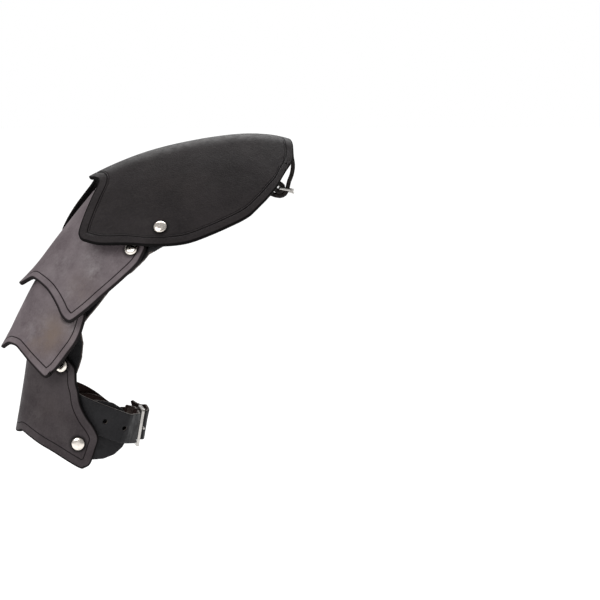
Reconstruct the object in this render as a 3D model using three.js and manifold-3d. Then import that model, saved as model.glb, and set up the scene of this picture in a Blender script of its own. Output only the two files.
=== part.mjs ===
// Articulated leather pauldron for the right shoulder, in millimetres.
// The origin is under the ridge of the shoulder plate, where it sits on the shoulder.
// +X points to the neck, +Y to the wearer's back and +Z up. Front and back mirror each other.
import * as THREE from 'three';
import { mergeVertices } from 'three/addons/utils/BufferGeometryUtils.js';
import Module from 'manifold-3d';

const wasm = await Module();
wasm.setup();

// Leather and gaps
const plateLeather = 3.5;
const strapLeather = 3;
const fitGap = 0.3;

// Shoulder plate, measured along its ridge and across the bend from the ridge
const shoulderPlate = {
  length: 196,
  halfWidth: 126,
  ridgeRound: 22,
  ridgeTurn: 40,
  wingTurn: 11,
  heading: 28,
  seatAlong: 98,
};

// Upper lame, and where its ridge starts inside the shoulder plate
const upperLame = {
  length: 117,
  halfWidth: 99,
  ridgeRound: 24,
  ridgeTurn: 38,
  wingTurn: 19,
  heading: -131,
  startAlong: 4.8,
  startDepth: 10.8,
};

// Middle lame, and where its ridge starts inside the upper lame
const middleLame = {
  length: 83,
  halfWidth: 80,
  ridgeRound: 22,
  ridgeTurn: 40,
  wingTurn: 20,
  heading: -120,
  startAlong: 91.7,
  startDepth: 5.8,
};

// Arm plate, and where its ridge starts inside the middle lame
const armPlate = {
  length: 81,
  halfWidth: 95,
  ridgeRound: 22,
  ridgeTurn: 40,
  wingTurn: 42,
  heading: -98,
  startAlong: 68.6,
  startDepth: 20.8,
};

// Rivets: a domed cap outside, a shank, and a flat foot inside
const capRadius = 6;
const capHeight = 3;
const capRim = 0.6;
const shankRadius = 1.8;
const footRadius = 4.5;
const footHeight = 1;

// Rivet places: share of the way down a plate's side, and inset from its edge
const shoulderRivet = { down: 0.312, inset: 20.6 };
const upperRivet = { down: 0.11, inset: 12.8 };
const middleRivet = { down: 0.11, inset: 17 };
const armUpperRivet = { down: 0.035, inset: 13.6 };
const armLowerRivet = { down: 0.77, inset: 16.8 };

// Articulation straps: inside each plate they follow its bend, and dip under the next plate's edge
const linkStrapWidth = 28;
const linkStrapTail = 13;
const linkStrapDip = 1;

// Tab behind each wing of the arm plate, and the flat rivet that ties the arm strap to it.
// The back tab follows its sagging strap: its middle by tabDrop of the sag, its ramp by tabClear.
const tabRadius = 26;
const tabReach = 17.5;
const tabRamp = 5;
const tabSpare = 2.7;
const tabDrop = 0.8;
const tabClear = 1.8;
const flatRivetRadius = 4;
const flatRivetHeight = 1;

// Arm strap: a loop from the front wing to the back wing, closed by a buckle on its far side
const armStrap = {
  width: 28,
  aboveRivet: 33,
  slope: 0.22,
  backSag: 9,
  reach: 52.5,
  drop: 20.5,
  tieInWing: 31.4,
  buckleTilt: 10,
  firstHole: 49,
  holePitch: 20,
  holeRadius: 2.2,
  bendInWing: 14.4,
  bend: 0.168,
};

// Buckles: flat frames with two bars, and a prong that turns on the heel bar
const armBuckle = { length: 28, bar: 3, spare: 1, prongRadius: 1.3 };
const neckBuckle = { length: 15, bar: 2.4, spare: 0.8, prongRadius: 1.1 };

// Neck strap: a loop that hangs from a hidden post under the ridge
const neckStrap = {
  width: 20,
  leather: 3.2,
  postFromEnd: 36,
  tailBack: 8,
  drop: 49,
  yaw: 12,
  curl: 1.9,
  postRadius: 2,
  postBite: 1.5,
  postFoot: 4,
};

// Outlines of the flat leather, as shares of each plate's length and half width.
// start and end: distance along the ridge, at shares of the way across to the side.
// side: width at shares of the way down the side. backStart: start of the back wing where it differs.
const shoulderOutline = {
  start: [
    { across: 0, along: -0.005 },
    { across: 0.08, along: -0.003 },
    { across: 0.16, along: 0.012 },
    { across: 0.24, along: 0.021 },
    { across: 0.31, along: 0.009 },
    { across: 0.44, along: -0.042 },
    { across: 0.54, along: -0.08 },
    { across: 0.68, along: -0.13 },
    { across: 0.79, along: -0.166 },
    { across: 0.87, along: -0.187 },
    { across: 0.95, along: -0.193 },
    { across: 1, along: -0.186 },
  ],
  backStart: [
    { across: 0, along: -0.005 },
    { across: 0.08, along: -0.003 },
    { across: 0.16, along: 0.012 },
    { across: 0.24, along: 0.018 },
    { across: 0.31, along: 0 },
    { across: 0.44, along: -0.06 },
    { across: 0.54, along: -0.107 },
    { across: 0.68, along: -0.163 },
    { across: 0.79, along: -0.2 },
    { across: 0.87, along: -0.222 },
    { across: 0.95, along: -0.228 },
    { across: 1, along: -0.221 },
  ],
  end: [
    { across: 0, along: 0.988 },
    { across: 0.33, along: 0.998 },
    { across: 0.66, along: 1.005 },
    { across: 0.85, along: 0.998 },
    { across: 1, along: 0.98 },
  ],
  side: [
    { down: 0, width: 0.58 },
    { down: 0.04, width: 0.67 },
    { down: 0.11, width: 0.76 },
    { down: 0.2, width: 0.87 },
    { down: 0.3, width: 0.95 },
    { down: 0.4, width: 0.99 },
    { down: 0.5, width: 0.985 },
    { down: 0.61, width: 0.95 },
    { down: 0.73, width: 0.882 },
    { down: 0.84, width: 0.757 },
    { down: 0.9, width: 0.657 },
    { down: 0.95, width: 0.56 },
    { down: 0.98, width: 0.475 },
    { down: 1, width: 0.41 },
  ],
};

const upperOutline = {
  start: [
    { across: 0, along: 0 },
    { across: 0.5, along: 0.03 },
    { across: 0.8, along: 0.09 },
    { across: 0.94, along: 0.135 },
    { across: 1, along: 0.17 },
  ],
  end: [
    { across: 0, along: 1 },
    { across: 0.07, along: 0.99 },
    { across: 0.11, along: 0.957 },
    { across: 0.17, along: 0.905 },
    { across: 0.26, along: 0.89 },
    { across: 0.45, along: 0.885 },
    { across: 0.57, along: 0.895 },
    { across: 0.72, along: 0.918 },
    { across: 0.85, along: 0.943 },
    { across: 0.93, along: 0.945 },
    { across: 0.98, along: 0.933 },
    { across: 1, along: 0.905 },
  ],
  side: [
    { down: 0, width: 0.965 },
    { down: 0.1, width: 0.987 },
    { down: 0.2, width: 1 },
    { down: 0.42, width: 0.972 },
    { down: 0.64, width: 0.93 },
    { down: 0.84, width: 0.886 },
    { down: 1, width: 0.85 },
  ],
};

const middleOutline = {
  start: [
    { across: 0, along: 0 },
    { across: 0.5, along: 0.04 },
    { across: 0.8, along: 0.13 },
    { across: 0.94, along: 0.19 },
    { across: 1, along: 0.235 },
  ],
  end: [
    { across: 0, along: 1 },
    { across: 0.06, along: 0.988 },
    { across: 0.12, along: 0.95 },
    { across: 0.18, along: 0.917 },
    { across: 0.26, along: 0.9 },
    { across: 0.34, along: 0.894 },
    { across: 0.42, along: 0.908 },
    { across: 0.6, along: 0.946 },
    { across: 0.75, along: 0.973 },
    { across: 0.88, along: 0.994 },
    { across: 0.945, along: 1 },
    { across: 0.98, along: 0.985 },
    { across: 1, along: 0.946 },
  ],
  side: [
    { down: 0, width: 0.96 },
    { down: 0.17, width: 0.985 },
    { down: 0.3, width: 1 },
    { down: 0.47, width: 0.998 },
    { down: 0.68, width: 0.968 },
    { down: 0.83, width: 0.942 },
    { down: 0.92, width: 0.925 },
    { down: 1, width: 0.895 },
  ],
};

const armOutline = {
  start: [
    { across: 0, along: 0 },
    { across: 0.6, along: 0.02 },
    { across: 0.88, along: 0.05 },
    { across: 1, along: 0.11 },
  ],
  end: [
    { across: 0, along: 1.005 },
    { across: 0.06, along: 1.004 },
    { across: 0.12, along: 0.993 },
    { across: 0.19, along: 0.972 },
    { across: 0.31, along: 1.006 },
    { across: 0.45, along: 1.052 },
    { across: 0.635, along: 1.104 },
    { across: 0.81, along: 1.168 },
    { across: 0.92, along: 1.208 },
    { across: 0.975, along: 1.217 },
    { across: 1, along: 1.2 },
  ],
  side: [
    { down: 0, width: 0.64 },
    { down: 0.04, width: 0.675 },
    { down: 0.18, width: 0.703 },
    { down: 0.25, width: 0.733 },
    { down: 0.38, width: 0.776 },
    { down: 0.49, width: 0.85 },
    { down: 0.58, width: 0.937 },
    { down: 0.68, width: 0.998 },
    { down: 0.8, width: 0.99 },
    { down: 0.91, width: 0.975 },
    { down: 0.97, width: 0.955 },
    { down: 1, width: 0.92 },
  ],
};

// Ridges as arcs: share of the length, and the turn over it in degrees
const shoulderRidge = [
  { run: 0.08, turn: -3 },
  { run: 0.36, turn: -13 },
  { run: 0.23, turn: -5 },
  { run: 0.2, turn: -11 },
  { run: 0.13, turn: -16 },
];
const upperRidge = [
  { run: 0.7, turn: 4 },
  { run: 0.3, turn: -11 },
];
const middleRidge = [
  { run: 0.72, turn: 4 },
  { run: 0.28, turn: -6 },
];
const armRidge = [{ run: 1, turn: -3 }];

// Reads a table smoothly between its rows
function readTable(rows, key, column, at) {
  let i = 0;
  while (i < rows.length - 2 && at > rows[i + 1][key]) i += 1;
  const slope = (a, b) => (b[column] - a[column]) / (b[key] - a[key]);
  const before = rows[Math.max(i - 1, 0)];
  const left = rows[i];
  const right = rows[i + 1];
  const after = rows[Math.min(i + 2, rows.length - 1)];
  const span = right[key] - left[key];
  const t = THREE.MathUtils.clamp((at - left[key]) / span, 0, 1);
  const leftSlope = before === left ? slope(left, right) : slope(before, right);
  const rightSlope = after === right ? slope(left, right) : slope(left, after);
  const t2 = t * t;
  const t3 = t2 * t;
  return (
    (2 * t3 - 3 * t2 + 1) * left[column]
    + (t3 - 2 * t2 + t) * span * leftSlope
    + (3 * t2 - 2 * t3) * right[column]
    + (t3 - t2) * span * rightSlope
  );
}

// Follows a path of arcs from the origin; both ends go on straight
function followArcs(arcs, distance) {
  let x = 0;
  let y = 0;
  let heading = 0;
  let rest = distance;
  for (const arc of arcs) {
    const step = Math.min(rest, arc.run);
    const turn = THREE.MathUtils.degToRad((arc.turn * Math.max(step, 0)) / arc.run);
    const chord = Math.abs(turn) > 1e-9 ? (step * Math.sin(turn / 2)) / (turn / 2) : step;
    x += chord * Math.cos(heading + turn / 2);
    y += chord * Math.sin(heading + turn / 2);
    heading += turn;
    rest -= step;
    if (rest <= 0) return { x, y, heading };
  }
  return { x: x + rest * Math.cos(heading), y: y + rest * Math.sin(heading), heading };
}

// A leather plate bent over its ridge. side is 1 where the outside is left of the ridge's way.
function bendPlate(sizes, outline, ridgeShares, origin, side) {
  const ridge = ridgeShares.map((arc) => ({ run: arc.run * sizes.length, turn: arc.turn }));
  const section = [
    { run: sizes.ridgeRound, turn: sizes.ridgeTurn },
    { run: sizes.halfWidth - sizes.ridgeRound, turn: sizes.wingTurn },
  ];
  const start = THREE.MathUtils.degToRad(sizes.heading);

  function at(along, across, depth = 0) {
    const spine = followArcs(ridge, along);
    const wall = followArcs(section, Math.abs(across));
    const hand = across < 0 ? -1 : 1;
    const heading = start + spine.heading;
    const out = new THREE.Vector3(-Math.sin(heading) * side, 0, Math.cos(heading) * side);
    const normal = out.clone().multiplyScalar(Math.cos(wall.heading));
    normal.y = -hand * Math.sin(wall.heading);
    const point = new THREE.Vector3(
      origin.x + spine.x * Math.cos(start) - spine.y * Math.sin(start),
      -hand * wall.x,
      origin.z + spine.x * Math.sin(start) + spine.y * Math.cos(start),
    );
    point.addScaledVector(out, -wall.y).addScaledVector(normal, -depth);
    return { point, normal };
  }

  function pattern(across, down) {
    const far = Math.abs(across);
    const start = across < 0 && outline.backStart ? outline.backStart : outline.start;
    const from = readTable(start, 'across', 'along', far) * sizes.length;
    const to = readTable(outline.end, 'across', 'along', far) * sizes.length;
    const width = readTable(outline.side, 'down', 'width', down) * sizes.halfWidth;
    return { along: THREE.MathUtils.lerp(from, to, down), across: across * width };
  }

  // The place at a share down the front side, inset from the edge
  function atSide(down, inset, depth = 0) {
    const edge = pattern(1, down);
    return at(edge.along, edge.across - inset, depth);
  }

  return { at, pattern, atSide, sizes };
}

// Closes a grid of outer and inner points into one solid
function sheetSolid(columns, rows, outerAt, innerAt) {
  const across = columns.length;
  const down = rows.length;
  const positions = [];
  for (const pointAt of [outerAt, innerAt]) {
    for (const row of rows) {
      for (const column of columns) positions.push(...pointAt(column, row).toArray());
    }
  }
  const index = [];
  const corner = (layer, i, j) => (layer * down + j) * across + i;
  const quad = (a, b, c, d) => index.push(a, b, c, a, c, d);
  for (let j = 0; j < down - 1; j += 1) {
    for (let i = 0; i < across - 1; i += 1) {
      quad(corner(0, i, j), corner(0, i + 1, j), corner(0, i + 1, j + 1), corner(0, i, j + 1));
      quad(corner(1, i, j), corner(1, i, j + 1), corner(1, i + 1, j + 1), corner(1, i + 1, j));
    }
  }
  for (let i = 0; i < across - 1; i += 1) {
    quad(corner(0, i, 0), corner(1, i, 0), corner(1, i + 1, 0), corner(0, i + 1, 0));
    const last = down - 1;
    quad(corner(0, i, last), corner(0, i + 1, last), corner(1, i + 1, last), corner(1, i, last));
  }
  for (let j = 0; j < down - 1; j += 1) {
    quad(corner(0, 0, j), corner(0, 0, j + 1), corner(1, 0, j + 1), corner(1, 0, j));
    const last = across - 1;
    quad(corner(0, last, j), corner(1, last, j), corner(1, last, j + 1), corner(0, last, j + 1));
  }
  const geometry = new THREE.BufferGeometry();
  geometry.setAttribute('position', new THREE.Float32BufferAttribute(positions, 3));
  geometry.setIndex(index);
  return faceOut(geometry);
}

// Six times the signed volume, which is negative where faces point in
function signedVolume(geometry) {
  const position = geometry.getAttribute('position');
  const index = geometry.getIndex();
  const corners = [new THREE.Vector3(), new THREE.Vector3(), new THREE.Vector3()];
  let sum = 0;
  for (let i = 0; i < index.count; i += 3) {
    corners.forEach((corner, k) => corner.fromBufferAttribute(position, index.getX(i + k)));
    sum += corners[0].dot(corners[1].clone().cross(corners[2]));
  }
  return sum;
}

function faceOut(geometry) {
  if (signedVolume(geometry) > 0) return geometry;
  const index = Array.from(geometry.getIndex().array);
  for (let i = 0; i < index.length; i += 3) {
    [index[i + 1], index[i + 2]] = [index[i + 2], index[i + 1]];
  }
  geometry.setIndex(index);
  return geometry;
}

// Solids for the cuts and joins
function toSolid(source) {
  const bare = source.clone();
  bare.deleteAttribute('normal');
  bare.deleteAttribute('uv');
  const merged = mergeVertices(bare, 1e-4);
  return new wasm.Manifold(new wasm.Mesh({
    numProp: 3,
    vertProperties: new Float32Array(merged.getAttribute('position').array),
    triVerts: new Uint32Array(merged.getIndex().array),
  }));
}

function toGeometry(solid) {
  const mesh = solid.getMesh();
  const geometry = new THREE.BufferGeometry();
  geometry.setAttribute('position', new THREE.Float32BufferAttribute(mesh.vertProperties, 3));
  geometry.setIndex(Array.from(mesh.triVerts));
  return geometry;
}

function cutHoles(geometry, tools) {
  let solid = toSolid(geometry);
  for (const tool of tools) solid = solid.subtract(toSolid(tool));
  return toGeometry(solid);
}

// Turns a shape that stands on +Y to stand on the surface at a place
function standOn(geometry, place) {
  const up = new THREE.Vector3(0, 1, 0);
  const turn = new THREE.Quaternion().setFromUnitVectors(up, place.normal);
  geometry.applyQuaternion(turn);
  geometry.translate(place.point.x, place.point.y, place.point.z);
  return geometry;
}

function mirrorBack(geometry) {
  const mirrored = geometry.clone().scale(1, -1, 1);
  return faceOut(mirrored);
}

const holeSides = 10;
const drillReach = 12;

function drill(place, radius) {
  return standOn(new THREE.CylinderGeometry(radius, radius, 2 * drillReach, holeSides), place);
}

const rivetHole = (place) => drill(place, shankRadius + fitGap);

const mirrored = (place) => ({
  point: place.point.clone().multiply(new THREE.Vector3(1, -1, 1)),
  normal: place.normal.clone().multiply(new THREE.Vector3(1, -1, 1)),
});

const bothSides = (place) => [place, mirrored(place)];

// Evenly spaced shares from 0 to 1
const shares = (count) => Array.from({ length: count + 1 }, (_, i) => i / count);

function plateSolid(plate, columnShares, rowShares, rivetPlaces) {
  const columns = [...columnShares.slice(1).map((share) => -share).reverse(), ...columnShares];
  const point = (column, row, depth) => {
    const spot = plate.pattern(column, row);
    return plate.at(spot.along, spot.across, depth).point;
  };
  const sheet = sheetSolid(
    columns,
    rowShares,
    (column, row) => point(column, row, 0),
    (column, row) => point(column, row, plateLeather),
  );
  return cutHoles(sheet, rivetPlaces.flatMap(bothSides).map(rivetHole));
}

// The four plates, each hung inside the one above it
const ridgeSeat = (() => {
  const flat = bendPlate(shoulderPlate, shoulderOutline, shoulderRidge, { x: 0, z: 0 }, 1);
  return flat.at(shoulderPlate.seatAlong, 0, plateLeather).point;
})();
const shoulder = bendPlate(
  shoulderPlate,
  shoulderOutline,
  shoulderRidge,
  { x: -ridgeSeat.x, z: -ridgeSeat.z },
  1,
);
const hangIn = (above, sizes) => above.at(sizes.startAlong, 0, sizes.startDepth).point;
const upper = bendPlate(upperLame, upperOutline, upperRidge, hangIn(shoulder, upperLame), -1);
const middle = bendPlate(middleLame, middleOutline, middleRidge, hangIn(upper, middleLame), -1);
const arm = bendPlate(armPlate, armOutline, armRidge, hangIn(middle, armPlate), -1);

const rivetOn = (plate, spot) => plate.atSide(spot.down, spot.inset);
const places = {
  shoulder: rivetOn(shoulder, shoulderRivet),
  upper: rivetOn(upper, upperRivet),
  middle: rivetOn(middle, middleRivet),
  armUpper: rivetOn(arm, armUpperRivet),
  armLower: rivetOn(arm, armLowerRivet),
};

const braceColumns = [0, 0.05, 0.1, 0.16, 0.24, 0.34, 0.48, 0.62, 0.76, 0.88, 0.96, 1];
const leafRows = [0, 0.03, 0.09, 0.18, 0.29, 0.41, 0.53, 0.65, 0.77, 0.87, 0.95, 1];
const lameRows = [0, 0.08, 0.2, 0.4, 0.6, 0.78, 0.9, 1];
const armRows = [0, 0.06, 0.2, 0.36, 0.49, 0.58, 0.67, 0.8, 0.93, 1];

// A domed rivet through a plate and what lies under it
function rivetSolid(place, grip) {
  const under = -(grip + fitGap);
  const profile = [
    [0, under - footHeight],
    [footRadius, under - footHeight],
    [footRadius, under],
    [shankRadius, under],
    [shankRadius, fitGap],
    [capRadius, fitGap],
    [capRadius, fitGap + capRim],
    [capRadius * 0.62, fitGap + capHeight * 0.85],
    [0, fitGap + capHeight],
  ].map(([radius, height]) => new THREE.Vector2(radius, height));
  return standOn(new THREE.LatheGeometry(profile, holeSides), place);
}

// A strap along a smooth path. Each station has the place of the outer face, the way the strap is
// wide, and how far its edges curl in.
function makeStrap(stations, width, leather, ends, steps) {
  const points = stations.map((station) => station.point);
  const curve = new THREE.CatmullRomCurve3(points, false, 'centripetal');
  curve.arcLengthDivisions = 40 * stations.length;
  const length = curve.getLength();
  const reach = width / 2;

  function frameAt(share) {
    const t = curve.getUtoTmapping(share) * (stations.length - 1);
    const i = Math.min(Math.floor(t), stations.length - 2);
    const tangent = curve.getTangentAt(share);
    const wide = stations[i].wide.clone().lerp(stations[i + 1].wide, t - i);
    wide.addScaledVector(tangent, -wide.dot(tangent)).normalize();
    const curl = THREE.MathUtils.lerp(stations[i].curl ?? 0, stations[i + 1].curl ?? 0, t - i);
    return { point: curve.getPointAt(share), normal: wide.clone().cross(tangent), wide, curl };
  }

  // Half width at a distance from an end: round, pointed or square
  function taper(distance, end) {
    if (end === 'square') return 1;
    const span = end === 'point' ? 1.15 * reach : reach;
    const share = Math.min(distance / span + 0.03, 1);
    const round = Math.sqrt(1 - (1 - share) ** 2);
    return end === 'point' ? Math.min(1, 0.04 + 0.6 * share + 0.36 * share ** 2) : round;
  }

  function pointAt(column, share, depth) {
    const frame = frameAt(share);
    const fromStart = taper(share * length, ends.start);
    const fromEnd = taper((1 - share) * length, ends.end);
    const half = reach * Math.min(fromStart, fromEnd);
    const curl = frame.curl * ((column * half) / reach) ** 2;
    return frame.point
      .addScaledVector(frame.wide, column * half)
      .addScaledVector(frame.normal, -curl - depth);
  }

  const tipShares = [0, 0.12, 0.3, 0.6, 1].map((share) => (share * reach * 1.15) / length);
  const startRows = ends.start === 'square' ? [0] : tipShares;
  const endRows = ends.end === 'square' ? [0] : tipShares;
  const from = startRows[startRows.length - 1];
  const to = 1 - endRows[endRows.length - 1];
  const middleRows = shares(steps).map((share) => THREE.MathUtils.lerp(from, to, share));
  const rows = [
    ...startRows.slice(0, -1),
    ...middleRows,
    ...endRows.slice(0, -1).reverse().map((share) => 1 - share),
  ];
  const geometry = sheetSolid(
    [-1, 0, 1],
    rows,
    (column, row) => pointAt(column, row, 0),
    (column, row) => pointAt(column, row, leather),
  );
  return { geometry, placeAt: (distance) => frameAt(distance / length), length };
}

// Gives each stop on a surface the way the strap is wide there
function onSurfaces(stops) {
  return stops.map((stop, i) => {
    const next = stops[Math.min(i + 1, stops.length - 1)].point;
    const last = stops[Math.max(i - 1, 0)].point;
    const way = next.clone().sub(last).normalize();
    return { ...stop, wide: stop.wide ?? way.cross(stop.normal).normalize() };
  });
}

// The strap inside the plates on one side, from the shoulder plate to the arm plate
function linkStrap() {
  const seat = plateLeather + 1.5 * fitGap;
  const flat = footRadius + 2.5 * linkStrapDip;
  // A stop beside a rivet: distances along the ridge and across from it, and how deep it dips
  const stop = (plate, rivet, curl) => (along, across, dip = 0) => {
    const edge = plate.pattern(1, rivet.down);
    return { ...plate.at(edge.along + along, edge.across - rivet.inset + across, seat + dip), curl };
  };
  const onShoulder = stop(shoulder, shoulderRivet, 0.9);
  const onUpper = stop(upper, upperRivet, 0.7);
  const onMiddle = stop(middle, middleRivet, 0.8);
  const onArm = stop(arm, armUpperRivet, 1.2);
  const stations = onSurfaces([
    onShoulder(linkStrapTail * 0.8, -linkStrapTail * 0.6, linkStrapDip / 5),
    onShoulder(0, 0),
    onShoulder(-flat * 1.45, flat * 0.8),
    onUpper(-2.6 * flat, -linkStrapDip, 4.2 * linkStrapDip),
    onUpper(-flat, 0),
    onUpper(0, 0),
    onUpper(flat, 0),
    onUpper(linkStrapWidth, -8 * linkStrapDip, linkStrapDip),
    onMiddle(-3 * flat, 3 * linkStrapDip, 2.7 * linkStrapDip),
    onMiddle(-flat, linkStrapDip, fitGap),
    onMiddle(0, 0, fitGap / 2),
    onMiddle(flat, -linkStrapDip, fitGap / 2),
    onArm(-2.3 * flat, 2 * linkStrapDip, linkStrapDip),
    onArm(-flat, linkStrapDip),
    onArm(0, 0),
    onArm(flat, -linkStrapDip),
    onArm(linkStrapTail, -1.5 * linkStrapDip),
  ]);
  const ends = { start: 'round', end: 'round' };
  const strap = makeStrap(stations, linkStrapWidth, strapLeather, ends, 19);
  const rivets = [places.shoulder, places.upper, places.middle, places.armUpper];
  return cutHoles(strap.geometry, rivets.map(rivetHole));
}

// Seats of the arm strap and of the tab behind a wing, below the outside of the arm plate
const armStrapSeat = plateLeather + 3 * fitGap + flatRivetHeight;
const tabSeat = armStrapSeat + strapLeather + 2 * fitGap;

// Both are placed from the lower rivet: how far along it is, and where the wing's edge is beside it
const wing = arm.pattern(1, armLowerRivet.down);
const tabCentre = { along: wing.along - tabRadius / 2, across: wing.across };
const bendFrom = wing.across - armStrap.bendInWing;
const bendIn = (across) => (armStrap.bend * Math.max(across - bendFrom, 0) ** 2) / armStrap.width;

// Stops of the arm strap behind a wing: shares of its width, from the wing's edge outward
const wingStops = [-1.66, -1.12, -0.58, -0.08, 0.42, 0.84].map((share) => wing.across + share * armStrap.width);

// Line of the arm strap behind a wing; the back strap sags below it past the bend
function strapAlong(across, sag = 0) {
  const level = wing.along - armStrap.aboveRivet + (across - wingStops[0]) * armStrap.slope;
  return level + sag * THREE.MathUtils.smoothstep(across, bendFrom, wingStops[5]);
}
const onWing = (across, sag) => arm.at(strapAlong(across, sag), across, armStrapSeat + bendIn(across));
const tieAcross = wing.across - armStrap.tieInWing;
const tiePlace = arm.at(strapAlong(tieAcross), tieAcross, armStrapSeat);

// A rounded tab that lies on the wing at its rivet and under the arm strap above it
function tabSolid(sag) {
  const rivetAcross = wing.across - armLowerRivet.inset;
  const left = rivetAcross - tabReach;
  const right = tabCentre.across + tabRadius;
  const middle = tabCentre.along + tabDrop * sag;
  const strapEdgeAt = (across) => strapAlong(across, tabClear * sag) + armStrap.width / 2 + tabSpare;
  const ramp = (strapEdgeAt(rivetAcross) - middle) / tabRadius;
  const nearWing = wing.across - 0.9 * tabRamp;
  const beyondWing = wing.across + 1.25 * tabRamp;
  const point = (column, row, depth) => {
    const across = THREE.MathUtils.lerp(left, right, row);
    const fromEnd = Math.min(across - left, right - across) / tabRadius + 0.03;
    const round = Math.sqrt(1 - (1 - Math.min(fromEnd, 1)) ** 2);
    const along = middle + column * round * tabRadius;
    const strapEdge = strapEdgeAt(across);
    const underStrap = 1 - THREE.MathUtils.smoothstep(along, strapEdge, strapEdge + tabRamp);
    const pastWing = THREE.MathUtils.smoothstep(across, nearWing, beyondWing);
    const lift = Math.max(underStrap, pastWing);
    const seat = THREE.MathUtils.lerp(plateLeather + fitGap, tabSeat, lift) + 2 * bendIn(across);
    return arm.at(along, across, seat + depth).point;
  };
  const sheet = sheetSolid(
    [-1, (ramp - 1.1) / 2, ramp - 0.17, ramp + 0.03, ramp + 0.19, 0.4 * ramp + 0.6, 1],
    [0, 0.05, 0.18, 0.32, 0.43, 0.56, 0.7, 0.85, 0.95, 1],
    (column, row) => point(column, row, 0),
    (column, row) => point(column, row, strapLeather),
  );
  return cutHoles(sheet, [rivetHole(places.armLower), rivetHole(tiePlace)]);
}

// The arm buckle stands on edge at the far side of the loop, its long way up
const tiltAngle = THREE.MathUtils.degToRad(armStrap.buckleTilt);
const buckleUp = new THREE.Vector3(Math.sin(tiltAngle), 0, Math.cos(tiltAngle));
const buckleOut = new THREE.Vector3(Math.cos(tiltAngle), 0, -Math.sin(tiltAngle));
const loopRoot = onWing(bendFrom).point;
const buckleCentre = new THREE.Vector3(loopRoot.x + armStrap.reach, 0, loopRoot.z - armStrap.drop);
const heelY = (armBuckle.length - armBuckle.bar) / 2;
const foldReach = (buckle, leather) => buckle.bar * 0.75 + fitGap + leather;
const armFold = foldReach(armBuckle, strapLeather);

// A place beside the buckle: out of its plane, towards the back, and up its long way
function byBuckle(out, y, up = 0) {
  const point = buckleCentre.clone().addScaledVector(buckleUp, up).addScaledVector(buckleOut, out);
  point.y += y;
  return point;
}

// Front half of the arm strap: out of the wing, through the frame and over the heel bar
function armTongue() {
  const flat = buckleUp.clone().negate();
  const lean = (degrees) => flat.clone().applyAxisAngle(buckleOut, THREE.MathUtils.degToRad(degrees));
  const inside = -(armBuckle.bar / 2 + 2 * fitGap);
  const over = armFold + 2 * fitGap + strapLeather;
  const corner = onWing(wingStops[5]).point.lerp(byBuckle(inside, -heelY), 0.5);
  corner.y -= 1.2 * strapLeather;
  // Past the heel bar, as shares of the strap width: out of the buckle's plane, back and up
  const spike = [
    { out: -0.02, back: 0.29, up: 0.11, lean: 12 },
    { out: -0.19, back: 0.57, up: 0.32, lean: 30 },
    { out: -0.48, back: 0.79, up: 0.64, lean: 40 },
  ].map((row) => {
    const [out, back, up] = [row.out, row.back, row.up].map((share) => share * armStrap.width);
    return { point: byBuckle(over + out, heelY + back, up), wide: lean(row.lean) };
  });
  const stations = onSurfaces([
    ...wingStops.map((across) => onWing(across)),
    { point: corner, wide: flat.clone().lerp(new THREE.Vector3(-0.25, 0, -1), 0.5).normalize() },
    { point: byBuckle(inside - fitGap, -heelY - 1.7 * strapLeather), wide: flat },
    { point: byBuckle(inside, -heelY + strapLeather / 3), wide: flat },
    { point: byBuckle(inside + strapLeather / 2, heelY - over - strapLeather / 2), wide: flat },
    { point: byBuckle(over * 0.7, heelY - over * 0.75), wide: flat },
    { point: byBuckle(over, heelY - strapLeather / 3), wide: flat },
    ...spike,
  ]);
  return makeStrap(stations, armStrap.width, strapLeather, { start: 'square', end: 'point' }, 31);
}

// Back half of the arm strap: from the back wing to the heel bar, round it and back inside
function armHolder() {
  const behindWing = wingStops.map((across) => mirrored(onWing(across, armStrap.backSag)));
  const root = behindWing[behindWing.length - 1].point;
  const toward = (reach, depth, drop) => new THREE.Vector3(
    THREE.MathUtils.lerp(root.x, buckleCentre.x, reach),
    root.y * depth,
    THREE.MathUtils.lerp(root.z, buckleCentre.z, drop),
  );
  const turns = [0, 45, 90, 135, 180].map((degrees) => {
    const angle = THREE.MathUtils.degToRad(degrees);
    return { point: byBuckle(armFold * Math.cos(angle), heelY - armFold * Math.sin(angle)), wide: buckleUp };
  });
  const layer = strapLeather + 2 * fitGap;
  const stations = onSurfaces([
    ...behindWing,
    { point: toward(0.4, 0.8, 0.5), wide: new THREE.Vector3(0.14, 0, 1).normalize() },
    { point: byBuckle(armFold - 0.07 * armStrap.width, heelY + armStrap.width / 4), wide: buckleUp },
    ...turns,
    { point: byBuckle(0.05 * armStrap.width - armFold, heelY + armStrap.width / 4), wide: buckleUp },
    { point: byBuckle(-armFold - strapLeather - layer, heelY + 0.46 * armStrap.width), wide: buckleUp },
  ]);
  return makeStrap(stations, armStrap.width, strapLeather, { start: 'square', end: 'square' }, 33);
}

// Neck strap: it runs under the ridge and hangs down past the neck end, turned a little
const neckSeat = plateLeather + 2 * fitGap;
const neckPost = shoulder.at(shoulderPlate.length - neckStrap.postFromEnd, 0, neckSeat);
const neckEnd = shoulder.at(shoulderPlate.length, 0, plateLeather).point;
const yawAngle = THREE.MathUtils.degToRad(neckStrap.yaw);
const neckAhead = new THREE.Vector3(Math.cos(yawAngle), -Math.sin(yawAngle), 0);
const neckWide = new THREE.Vector3(Math.sin(yawAngle), Math.cos(yawAngle), 0);
const neckFold = foldReach(neckBuckle, neckStrap.leather);

// A place beyond the neck end: how far ahead of it and how far below
function byNeck(ahead, below) {
  return neckEnd.clone().addScaledVector(neckAhead, ahead).setZ(neckEnd.z - below);
}

const neckHeel = byNeck(-0.21 * neckStrap.drop, 0.857 * neckStrap.drop);
const neckToTip = neckAhead.clone().multiplyScalar(0.985).setZ(-0.17).normalize();
const neckOut = neckToTip.clone().cross(neckWide).negate();

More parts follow.
